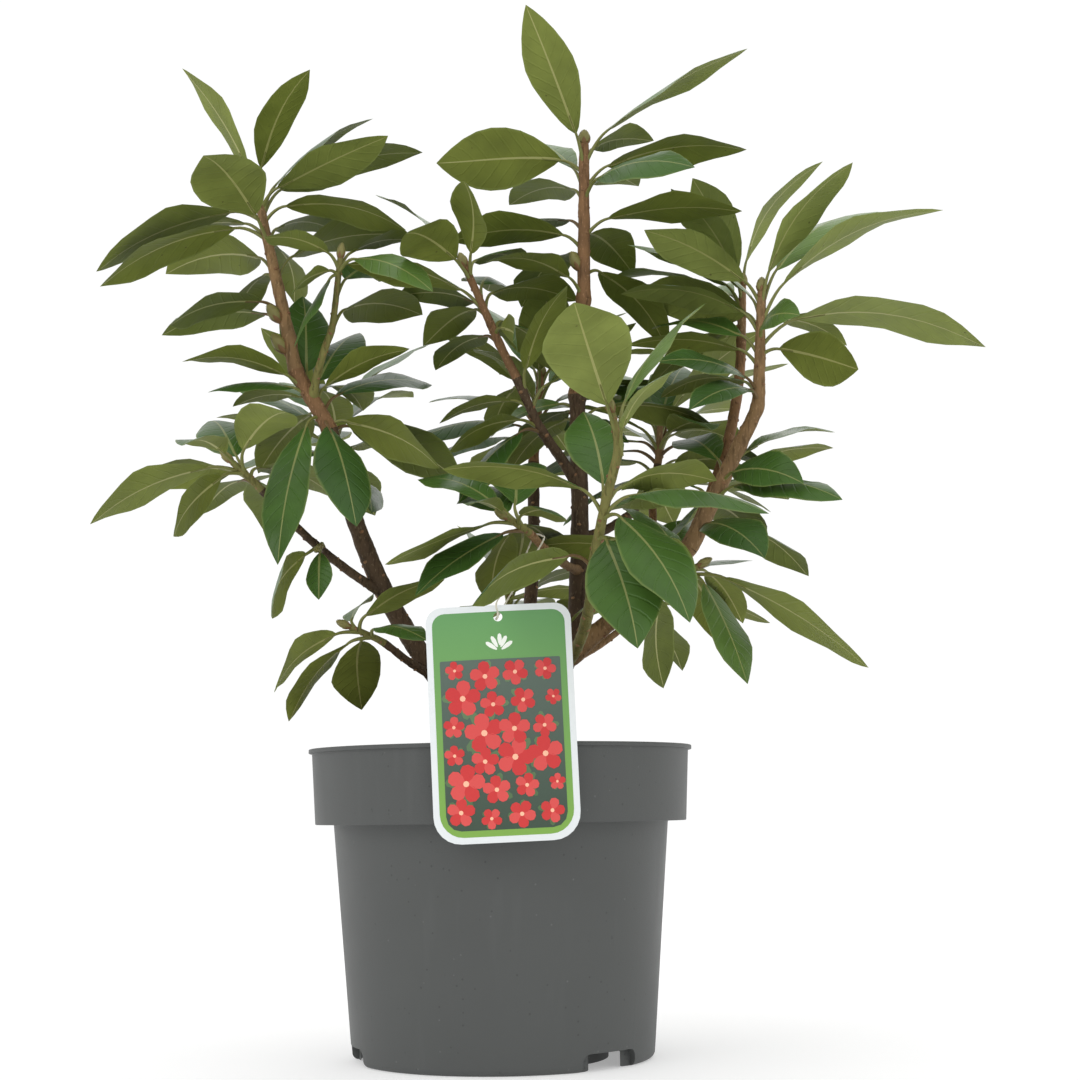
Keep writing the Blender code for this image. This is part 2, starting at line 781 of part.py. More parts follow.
class Axis:
    """The bowed middle line of a limb or stem, its radii, and the plane of its first end."""

    def __init__(self, start, end, bow, thick, facing=None, bud=False):
        self.start = start
        self.end = end
        self.middle = (start + end) / 2 + bow * 2
        self.radii = thick[0] / 2, thick[1] / 2
        self.facing = facing or self.direction(0)
        self.bud = bud

    def point(self, t):
        return (1 - t) ** 2 * self.start + 2 * t * (1 - t) * self.middle + t * t * self.end

    def direction(self, t):
        return ((1 - t) * (self.middle - self.start) + t * (self.end - self.middle)).normalized()

    def radius(self, t):
        return self.radii[0] + (self.radii[1] - self.radii[0]) * t

    @property
    def length(self):
        return (self.end - self.start).length

    def rings(self, grown=0.0, flare=0.0):
        """Cross-sections along the tube. `grown` fattens and lengthens it, `flare` widens its foot."""
        sides = 8 if 2 * self.radii[0] > THICK_LIMB else 6
        side = Vector((0.3, 1, 0.1))
        found = []
        for i in range(TUBE_STATIONS):
            t = i / (TUBE_STATIONS - 1)
            along = self.facing if i == 0 else self.direction(t)
            centre = self.point(t) + along * grown * (2 * t - 1)
            radius = self.radius(t) + grown + flare * (1 - t) ** 3
            side = (side - along * side.dot(along)).normalized()
            found.append(circle(centre, along, side, radius, sides))
        if self.bud:
            along = self.direction(1)
            for share, swell in ((0.3, BUD_SWELL), (0.7, 0.7)):
                centre = self.end + along * BUD_LENGTH * share
                found.append(circle(centre, along, side, self.radii[1] * swell, sides))
            found.append([self.end + along * BUD_LENGTH])
        return found


def circle(centre, along, side, radius, sides):
    turns = (Quaternion(along, math.tau * k / sides) for k in range(sides))
    return [centre + turn @ side * radius for turn in turns]


def tree_of(rings):
    """A search tree over a lofted shape."""
    bm = bmesh.new()
    loft(bm, rings)
    tree = BVHTree.FromBMesh(bm)
    bm.free()
    return tree


def grow_axes():
    """The middle line of the trunk, and of every limb and stem, each after the one that carries it."""
    root = Vector((0, 0, COMPOST_LEVEL + GAP))
    axes = {"trunk": Axis(root, Vector((0.002, 0, 0.192)), Vector(), (0.024, 0.021), Vector((0, 0, 1)))}
    waiting = [*LIMBS, *SHOOTS]
    while waiting:
        part = next(one for one in waiting if one.after in axes)
        waiting.remove(part)
        parent = axes[part.after]
        at = getattr(part, "at", 1.0)
        bow = Vector(getattr(part, "bow", (0, 0, 0)))
        bud = getattr(part, "bud", False)
        if at < 1:
            axes[part.name] = Axis(parent.point(at), Vector(part.end), bow, part.thick)
        else:
            facing = parent.direction(1)
            start = parent.end + facing * GAP
            axes[part.name] = Axis(start, Vector(part.end), bow, part.thick, facing, bud)
    return axes


def make_limb(name, axes, look, side_limb, obstacles):
    bm = bmesh.new()
    loft(bm, axes[name].rings(flare=ROOT_FLARE if name == "trunk" else 0.0))
    limb = finish(name, bm, look, 50)
    if not side_limb:
        return limb
    tree = tree_of(axes[name].rings())
    cutters = []
    for other in obstacles:
        rings = axes[other].rings(grown=CUT_GAP)
        if tree.overlap(tree_of(rings)):
            cutter = bmesh.new()
            loft(cutter, rings)
            cutters.append(finish("limb_cutter", cutter, look))
    cut(limb, cutters)
    return limb


def heading(leaf):
    """The leaf's forward direction, the direction across it, and its upper side's."""
    bearing, rise = math.radians(leaf.bearing), math.radians(leaf.rise)
    forward = Vector(
        (math.cos(bearing) * math.cos(rise), math.sin(bearing) * math.cos(rise), math.sin(rise))
    )
    across = forward.cross(Vector((0, 0, 1))).normalized()
    turn = Quaternion(forward, math.radians(leaf.roll))
    across = turn @ across
    return forward, across, across.cross(forward)


def leaf_rings(leaf, stem, grown=0.0, first=0.0):
    """A blade of diamond sections, from its root in the stem to its tip."""
    forward, across, up = heading(leaf)
    root = stem.end + (stem.start - stem.end).normalized() * leaf.back
    arch = leaf.arch * math.cos(math.radians(leaf.rise)) * leaf.length
    half = leaf.breadth * leaf.length / 2
    found = []
    stations = ((first, 0), (STALK_SHARE, 0), *LEAF_STATIONS)
    for share, width in stations:
        centre = root + forward * leaf.length * share + up * arch * 4 * share * (1 - share)
        wide = max(half * width, SPUR) + grown
        thick = LEAF_THICKNESS * leaf.length / 2 + grown
        if not width:
            thick = max(thick, SPUR + grown)
        margin = centre - up * LEAF_CROWN * wide * (width > 0)
        left, right = margin - across * wide, margin + across * wide
        found.append((left, centre - up * thick, right, centre + up * thick))
    found.append([root + forward * (leaf.length + grown)])
    return found


class Grower:
    """Places leaves one at a time, each clear of all that is placed already."""

    def __init__(self, axes, solids):
        self.axes = axes
        self.solids = solids
        self.limbs = {name: tree_of(axis.rings()) for name, axis in axes.items()}
        self.placed = {shoot.name: [] for shoot in SHOOTS}

    def clear(self, shoot, leaf):
        stem = self.axes[shoot.name]
        near = self.near_share(leaf, stem)
        whole = tree_of(leaf_rings(leaf, stem, LEAF_CLEARANCE, near))
        blade = tree_of(leaf_rings(leaf, stem, LEAF_CLEARANCE, STALK_SHARE * 0.98))
        if any(whole.overlap(solid) for solid in self.solids):
            return False
        if any(whole.overlap(tree) for name, tree in self.limbs.items() if name != shoot.name):
            return False
        if blade.overlap(self.limbs[shoot.name]):
            return False
        for name, leaves in self.placed.items():
            mine = blade if name == shoot.name else whole
            if any(mine.overlap(other) for _, other in leaves):
                return False
        return True

    def near_share(self, leaf, stem):
        """The share of a leaf's length that lies inside its stem."""
        return min(STALK_SHARE * 0.67, stem.radii[0] / leaf.length)

    def place(self, shoot, leaf, chance, spread):
        """Tries the leaf as it is, then turned a little further each time. True once it is placed."""
        for attempt in range(TRIES):
            if self.clear(shoot, leaf):
                tree = tree_of(leaf_rings(leaf, self.axes[shoot.name]))
                self.placed[shoot.name].append((leaf, tree))
                return True
            reach = spread * (attempt + 1) / TRIES
            leaf = Leaf(
                leaf.bearing + chance.uniform(-reach, reach),
                leaf.rise + chance.uniform(-reach, reach) / 2,
                leaf.length,
                leaf.roll,
                leaf.back,
                leaf.breadth,
                leaf.arch,
            )
        return False


def rule_leaf(shoot, axes, number, chance):
    """The rule: leaves turn by the golden angle, upright at the stem's end and hanging at its foot."""
    share = (number + 0.5) / shoot.others
    low, high = shoot.facing
    turn = (number * GOLDEN_SHARE + chance.uniform(-0.02, 0.02)) % 1
    return Leaf(
        bearing=low + (high - low) * turn,
        rise=YOUNG_RISE + (OLD_RISE - YOUNG_RISE) * share + chance.uniform(-10, 10),
        length=LEAF_LENGTH * chance.uniform(0.85, 1.1),
        roll=chance.uniform(-25, 25),
        back=0.003 + share * (axes[shoot.name].length * 0.86 - 0.006),
        breadth=LEAF_BREADTH * chance.uniform(0.9, 1.1),
    )


def grow_leaves(axes, solids):
    """Every shoot's own leaves first, then the rule's, with what doesn't fit left out."""
    grower = Grower(axes, solids)
    for number, shoot in enumerate(SHOOTS):
        chance = random.Random(number)
        for leaf in shoot.leaves:
            grower.place(shoot, leaf, chance, OWN_SPREAD)
    for number, shoot in enumerate(SHOOTS):
        chance = random.Random(100 + number)
        for i in range(shoot.others):
            grower.place(shoot, rule_leaf(shoot, axes, i, chance), chance, RULE_SPREAD)
    return {name: [leaf for leaf, _ in leaves] for name, leaves in grower.placed.items()}


def make_mass(shoot, axes, leaves, look):
    """One solid: the shoot's stem, with its leaves fused on."""
    stem = axes[shoot.name]
    bm = bmesh.new()
    loft(bm, stem.rings())
    mass = finish(shoot.name, bm, look)
    together = bpy.data.collections.new(shoot.name + "_leaves")
    bpy.context.scene.collection.children.link(together)
    for leaf in leaves:
        bm = bmesh.new()
        loft(bm, leaf_rings(leaf, stem))
        blade = finish("leaf", bm, look)
        bpy.context.scene.collection.objects.unlink(blade)
        together.objects.link(blade)
    union = mass.modifiers.new("leaves", "BOOLEAN")
    union.operation = "UNION"
    union.operand_type = "COLLECTION"
    union.collection = together
    union.solver = "MANIFOLD"
    apply_modifiers(mass)
    discard(together.objects)
    bpy.data.collections.remove(together)
    return mass


def mesh_tree(target):
    bpy.context.view_layer.update()
    return BVHTree.FromObject(target, bpy.context.evaluated_depsgraph_get())


def main():
    discard(bpy.data.objects)
    plastic = material("pot_plastic", (0.108, 0.111, 0.108), 0.55)
    earth = material("compost_earth", (0.030, 0.020, 0.013), 0.95)
    card = material("tag_card", (0.80, 0.81, 0.78), 0.35)
    string = material("tag_string", (0.72, 0.70, 0.62), 0.6)
    bark = material("bark", (0.200, 0.100, 0.060), 0.8)
    leaf_green = material("leaf_green", (0.110, 0.170, 0.055), 0.45)

    axes = grow_axes()
    pot = make_pot(plastic)
    compost = make_compost(earth)
    tag = make_tag(card)
    loop = make_loop(string, axes)
    solids = [mesh_tree(thing) for thing in (pot, compost, tag, loop)]

    side_limbs = {limb.name for limb in LIMBS if limb.at < 1}
    carried = [name for name in axes if name not in side_limbs]
    stems = {shoot.name for shoot in SHOOTS}
    obstacles = list(carried)
    for name in [*carried, *(name for name in axes if name in side_limbs)]:
        if name not in stems:
            make_limb(name, axes, bark, name in side_limbs, obstacles)
        if name not in obstacles:
            obstacles.append(name)

    leaves = grow_leaves(axes, solids)
    for shoot in SHOOTS:
        make_mass(shoot, axes, leaves[shoot.name], leaf_green)
        wanted = len(shoot.leaves) + shoot.others
        print(f"{shoot.name}: {len(leaves[shoot.name])} of {wanted} leaves")


main()
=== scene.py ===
"""The finish of a large-leaved evergreen flowering shrub, grown in its nursery pot, with a hanging tag.

Everything is in metres, with +Z up, and the plant's front faces -Y. The origin is the centre of the
pot's flat underside. Bearings are degrees round from +X towards +Y, and rises are degrees above level.
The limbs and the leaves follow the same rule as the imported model's: limbs are tapering tubes along
bowed lines, and every leaf is rooted in the stem that carries its limb on.
"""

import math
import random
from dataclasses import dataclass, replace

import bmesh
import bpy
from bpy.props import FloatProperty, FloatVectorProperty, IntProperty, PointerProperty
from mathutils import Matrix, Quaternion, Vector, noise
from mathutils.bvhtree import BVHTree


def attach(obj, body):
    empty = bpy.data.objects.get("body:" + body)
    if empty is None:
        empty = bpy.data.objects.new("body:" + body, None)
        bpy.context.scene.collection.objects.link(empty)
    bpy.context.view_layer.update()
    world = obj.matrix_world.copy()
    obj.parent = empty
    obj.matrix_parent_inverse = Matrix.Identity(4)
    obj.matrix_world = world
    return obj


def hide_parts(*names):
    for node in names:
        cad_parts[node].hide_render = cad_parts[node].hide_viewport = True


bl_info = {
    "name": "Potted Shrub Finish",
    "version": (1, 0, 0),
    "blender": (4, 5, 0),
    "location": "3D View > Sidebar > Shrub",
    "description": "Models and finishes a potted evergreen shrub round its packed solids",
    "category": "Object",
}

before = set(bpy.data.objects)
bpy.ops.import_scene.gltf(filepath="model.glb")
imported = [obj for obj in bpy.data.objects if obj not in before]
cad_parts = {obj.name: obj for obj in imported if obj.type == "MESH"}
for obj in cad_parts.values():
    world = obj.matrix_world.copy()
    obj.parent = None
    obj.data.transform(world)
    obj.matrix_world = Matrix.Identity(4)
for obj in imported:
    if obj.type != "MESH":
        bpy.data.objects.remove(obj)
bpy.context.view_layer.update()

GAP = 0.0003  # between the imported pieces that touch
MERGE = 1e-6  # points nearer than this are one

# Seeds of the random draws
CHIP_SEED = 7
BOUGH_SCAR_SEED = 3
STEM_SCAR_SEED = 17
RULE_SEED = 100
LEAF_SEED = 11
BUD_SEED = 5
BLOOM_SEED = 3

# Pot
POT_HEIGHT = 0.182
BASE_RADIUS = 0.0895
BODY_RADIUS = 0.100  # at the foot of the collar
COLLAR_LOW_RADIUS = 0.111
COLLAR_TOP_RADIUS = 0.113
COLLAR_HEIGHT = 0.0445
LIP_RADIUS = 0.115
LIP_HEIGHT = 0.0025
POT_WALL = 0.002
FOOT_CORNER = 0.004
FOOT_TURNS = range(0, 91, 15)  # degrees round that corner
FOOT_WIDTH = 0.0055
CHANNEL_HEIGHT = 0.009  # of the drainage channel under the base
CHANNEL_RADIUS = 0.062
NOTCH_BEARINGS = (-46, 74, 194)
NOTCH_WIDTH = 0.042
NOTCH_HEIGHT = 0.010
NOTCH_CORNER = 0.005
NOTCH_DEPTH = 0.013  # across the foot
SHARP_TURN = math.radians(30)  # of its wall, from which a corner is rounded
COMPOST_LEVEL = 0.162
MOUND_REACH = 0.022  # of the compost's rise round the trunk
CHIP_SIZES = (0.0012, 0.0042)
CHIP_MARGIN = 0.004  # kept free along the wall
CLEAR_RING = 0.017  # kept free round the trunk

# Tag
TAG_WIDTH = 0.080
TAG_HEIGHT = 0.129
TAG_THICKNESS = 0.0008
TAG_TOP_CORNER = 0.009
TAG_FOOT_CORNER = 0.015
TAG_BEND = 0.003  # how far its middle stands out in front of its edges
TAG_CENTRE = (0.004, 0.192)  # x and z
TAG_LEAN = 2.0  # degrees, its top to the left
TAG_HOLE_RADIUS = 0.0025
TAG_HOLE_DROP = 0.0065  # of the hole's centre below the top edge
LOOP_RADIUS = 0.0006
LOOP_PLACE = 0.86  # share of the low bough's length

# The rule that limbs and leaves follow
TRUNK_TOP = (0.002, 0, 0.192)
TRUNK_THICK = (0.024, 0.021)  # diameters at its foot and its top
TUBE_STATIONS = 5
FIRST_SIDE = Vector((0.3, 1, 0.1))  # towards the first corner of a tube's rings
THICK_LIMB = 0.008  # diameter from which a tube has eight sides, not six
SPUR = 0.0012  # radius of a leaf's stalk
STALK_SHARE = 0.15  # of a leaf's length
LEAF_STATIONS = ((0.36, 0.86), (0.74, 0.88))  # share of the length, and of the half width
LEAF_THICKNESS = 0.018  # of the length, at the midrib
LEAF_CROWN = 0.14  # how far its margins curl down, by its half width
LEAF_ARCH = 0.11  # how far it arches above its chord, by its length
LEAF_LENGTH = 0.088
LEAF_BREADTH = 0.40
GOLDEN_SHARE = 0.381966  # of a full turn, between one leaf and the next
YOUNG_RISE = 50
OLD_RISE = -22
LEAF_CLEARANCE = 0.0005
TRIES = 9
OWN_SPREAD = 9  # degrees that a leaf may turn to find room
RULE_SPREAD = 22
TURN_JITTER = 0.02  # of a full turn
RISE_JITTER = 10
ROLL_JITTER = 25
LENGTH_SHARES = (0.85, 1.1)
BREADTH_SHARES = (0.9, 1.1)
FIRST_BACK = 0.003  # how far below the stem's end the rule's first leaf roots
STEM_SHARE = 0.86  # how much of its stem the rule clothes
BUD_LENGTH = 0.010
BUD_SWELL = 1.5  # of its widest ring, by the stem's end

# Bark
SMOOTHINGS = 8  # rounds of easing along a limb's line
ROOT_FLARE = 0.006  # of the trunk's foot
FLARE_HEIGHT = 0.030
TRUNK_SINK = 0.003  # of its foot into the compost
TUBE_SIDES = ((0.004, 16), (0.0024, 12), (0, 8))  # the radius that a tube exceeds, and its sides
FULL_BARK = 0.004  # radius from which bark has its full depth
COLLAR_SWELL = 0.32  # how much thicker a side limb is where it leaves its parent
COLLAR_REACH = 0.9  # how far that fades out, by the parent's radius
NODE_SWELL = 0.08  # of the first radius, where one year's growth follows another
NODE_REACH = 0.0035
SCAR_SPACING = 0.0055  # between the marks of fallen leaves
SCAR_SIZE = 0.0016
BARKS = (  # the limbs with old, red, tan and green bark
    "trunk bough_centre_foot bough_left bough_back bough_left_sprig bough_left_foot bough_centre "
    "bough_centre_left bough_left_low bough_mid_back tier_centre tier_centre_left",
    "bough_centre_upper bough_centre_left_upper bough_right_back tier_left crown_centre "
    "crown_centre_left bough_back_left bough_back_right crown_back",
    "bough_left_upper crown_left bough_right bough_right_upper tier_right crown_right "
    "crown_right_back bough_back_low bough_back_side bough_right_low bough_centre_low "
    "crown_mid_back crown_back_left crown_back_right",
    "bough_front bough_front_upper tier_front crown_front bough_left_inner crown_left_inner "
    "crown_left_low sprig_left crown_left_foot crown_right_low crown_centre_low crown_back_low "
    "crown_back_side",
)

# Leaves
BLADE_ACROSS = (-1, -0.55, -0.05, 0.05, 0.55, 1)  # its edges, middles and midrib, by its half width
BLADE_LEAN = 1.06  # above 1, the blade is widest past its middle
BLADE_FULLNESS = (0.74, 0.92)  # at its foot and at its tip; the fuller, the nearer to 0
BLADE_FILL = 0.94  # its widest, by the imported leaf's half width
END_ROWS = 0.55  # how far its rows crowd towards its ends
PATTERN_MERGE = 1e-5  # the same as MERGE, for the flat pattern that a blade is made from
STALK_DROP = 0.085  # how far a stalk starts below its blade's line, by the leaf's length
STALK_STATIONS = (0.0, 0.02, 0.04, 0.06, 0.085, 0.11, 0.135, 0.16, 0.20, 0.28)  # by its length
VEINS = 9  # pairs of side veins
VEIN_SLANT = 1.7  # how far they run towards the tip on their way to the margin
RIPPLES = 1.7  # waves along a margin
FULL_BLADE = 0.002  # half width from which a blade has its full thickness
RIB_DEPTH = 2.6  # how far the midrib stands out below, by half the blade's thickness
RIB_GROOVE = 0.3  # how far it lies below the upper side, likewise
TWIST = 20  # degrees that a blade twists at most
DROOP = 0.045  # of its tip, by the leaf's length
FOLDS = (-0.8, 2.2)  # how far its margins curl down, by LEAF_CROWN
SWAY = 0.022  # how far it bows sideways, by its length
STALK_SIDES = 6
STALK_FOOT = 1.35  # its radius at its foot, by the settings' radius
STALK_TAPER = 0.9  # how much it loses on its way, likewise
YOUNG_SHOOTS = ("crown_right", "crown_front", "crown_right_back")
YOUNG_BACK = 0.03  # how far down the stem young leaves grow
YOUNG_SHARE = 0.8  # of the leaves there
PALE_SHARE = 0.15  # of any other stem: the leaves nearer to its end are pale
MATURE_SHARE = 0.75  # and those nearer than this are mature
AGE_JITTER = 0.35
FEWEST_LEAVES = 190
SIDE_BUDS = (  # stem, share of its length, bearing, lean off the stem, length
    ("crown_left", 0.10, -150, 28, 0.014),
    ("bough_left_upper", 0.55, -165, 26, 0.015),
    ("crown_centre", 0.18, -160, 24, 0.013),
)
BUD_ROOT = 0.001  # how far a bud sits in its stem
SIDE_BUD_WIDTH = 0.26  # its radius, by its length
SCALE_ROUNDS = 3
ROUND_SCALES = 5

# Print
PICTURE_MARGIN = 0.0035
PICTURE_HEIGHT = 0.096
PANEL_SINK = 0.0001  # how deep the green panel's back lies in the card
PANEL_RISE = 0.00006  # this and the next three: how far a layer of print stands out from the card
PICTURE_RISE = 0.00013
EMBLEM_RISE = 0.00016
BLOOM_RISE = 0.00022
PETAL_RISE = 0.00006  # this and the next: above the bloom's leaves
HEART_RISE = 0.00018
BEND_CUTS = 12  # columns of faces that bend with the card
BLOOM_ROWS = 6
BLOOM_COLUMNS = 4
BLOOM_SIZE = 0.0088
PETALS = 5
PETAL_POINTS = 9
INKS = (  # colours at the card's foot and at its head, in the order of the print's layers
    ("ground", (44, 66, 48), (92, 108, 98)),
    ("leaf", (70, 100, 58), (104, 132, 96)),
    ("red", (206, 46, 44), (196, 40, 44)),
    ("rose", (220, 78, 74), (208, 62, 62)),
    ("heart", (250, 196, 160), (244, 176, 150)),
    ("pale", (238, 242, 230), (240, 244, 236)),
)
EMBLEM_DROP = 0.0215  # below the panel's head
EMBLEM_BEARINGS = (35, 62, 90)  # of its leaves on the right

# Stage
SENSOR = 36.0  # width in millimetres
LIGHT_AIM = 0.35  # height
LIGHTS = (  # name, place, power in watts, and width
    ("key_light", (-1.3, -1.7, 1.7), 7, 1.4),
    ("fill_light", (1.6, -1.3, 0.9), 0.3, 1.4),
    ("back_light", (0.4, 1.8, 1.6), 3, 1.4),
)


@dataclass(frozen=True)
class Limb:
    """A tapering limb. It carries on `after`, or leaves it sideways at the share `at` of its length."""

    name: str
    after: str
    end: tuple
    thick: tuple  # diameters at its start and end
    bow: tuple = (0, 0, 0)  # how far its middle stands off the straight line
    at: float = 1.0
    bud = False


@dataclass(frozen=True)
class Leaf:
    """Where a leaf points, from its stem to its tip, and how far below the stem's end it roots."""

    bearing: float
    rise: float
    length: float
    roll: float = 0
    back: float = 0.004
    breadth: float = LEAF_BREADTH
    arch: float = LEAF_ARCH


@dataclass(frozen=True)
class Shoot:
    """A mass of foliage, on a stem that carries on from the limb `after`."""

    name: str
    after: str
    end: tuple
    thick: tuple
    leaves: tuple = ()  # those that shape its outline
    others: int = 0  # those dealt out by the rule
    facing: tuple = (20, 160)  # bearings that the rule's leaves take
    bud: bool = True
    bow = (0, 0, 0)
    at = 1.0


LIMBS = (
    Limb("bough_centre_foot", "trunk", (0.046, 0, 0.246), (0.0165, 0.0125), (0.004, 0, -0.003)),
    Limb("bough_centre", "bough_centre_foot", (0.050, 0, 0.376), (0.0115, 0.0100), (0.002, 0, 0)),
    Limb("bough_left", "trunk", (-0.099, -0.035, 0.372), (0.0140, 0.0092),
         (-0.013, -0.004, -0.014), 0.7),
    Limb("bough_right", "bough_centre_foot", (0.116, -0.015, 0.300), (0.0115, 0.0105),
         (0, -0.002, -0.002), 0.86),
    Limb("bough_centre_upper", "tier_centre", (0.055, 0, 0.459), (0.0098, 0.0085)),
    Limb("bough_left_upper", "tier_left", (-0.124, -0.034, 0.429), (0.0088, 0.0080)),
    Limb("bough_right_upper", "tier_right", (0.160, -0.015, 0.386), (0.0088, 0.0080)),
    Limb("bough_centre_left", "bough_centre", (0.027, -0.022, 0.372), (0.0068, 0.0060),
         (0.003, 0.002, -0.002), 0.71),
    Limb("bough_centre_left_upper", "tier_centre_left", (0.003, -0.033, 0.423), (0.0056, 0.0052)),
    Limb("bough_front", "bough_centre_foot", (0.055, -0.105, 0.280), (0.0072, 0.0062),
         (0.004, -0.008, -0.008), 0.72),
    Limb("bough_front_upper", "tier_front", (0.070, -0.133, 0.340), (0.0056, 0.0052)),
    Limb("bough_left_inner", "tier_left", (-0.096, -0.052, 0.429), (0.0050, 0.0042),
         (-0.001, -0.004, 0), 0.5),
    Limb("bough_left_low", "bough_left", (-0.137, -0.052, 0.333), (0.0056, 0.0046),
         (-0.002, -0.003, -0.004), 0.55),
    Limb("bough_left_sprig", "bough_left_low", (-0.102, -0.050, 0.301), (0.0034, 0.0030), at=0.48),
    Limb("bough_left_foot", "bough_left", (-0.066, -0.045, 0.243), (0.0052, 0.0044),
         (0.001, -0.002, -0.003), 0.28),
    Limb("bough_right_back", "bough_right", (0.156, 0.035, 0.440), (0.0078, 0.0062),
         (0.010, 0.014, 0), 0.93),
    Limb("bough_right_low", "bough_right", (0.093, -0.050, 0.271), (0.0058, 0.0048),
         (0.003, -0.002, -0.003), 0.30),
    Limb("bough_mid_back", "bough_centre", (0.102, 0.050, 0.362), (0.0060, 0.0046),
         (0.008, 0.005, -0.006), 0.48),
    Limb("bough_centre_low", "bough_centre", (0.020, -0.078, 0.302), (0.0052, 0.0044),
         (0, -0.004, -0.004), 0.33),
    Limb("bough_back", "trunk", (0.022, 0.088, 0.372), (0.0110, 0.0070), (0.006, 0.022, -0.012), 0.55),
    Limb("bough_back_left", "bough_left", (-0.100, 0.066, 0.350), (0.0066, 0.0050),
         (-0.004, 0.014, -0.008), 0.42),
    Limb("bough_back_right", "bough_right", (0.100, 0.086, 0.345), (0.0066, 0.0050),
         (0.006, 0.012, -0.012), 0.45),
    Limb("bough_back_low", "bough_back", (0.004, 0.110, 0.262), (0.0054, 0.0044),
         (-0.006, 0.004, -0.004), 0.34),
    Limb("bough_back_side", "bough_back", (0.080, 0.078, 0.262), (0.0054, 0.0044),
         (0.002, 0.004, -0.004), 0.30),
)

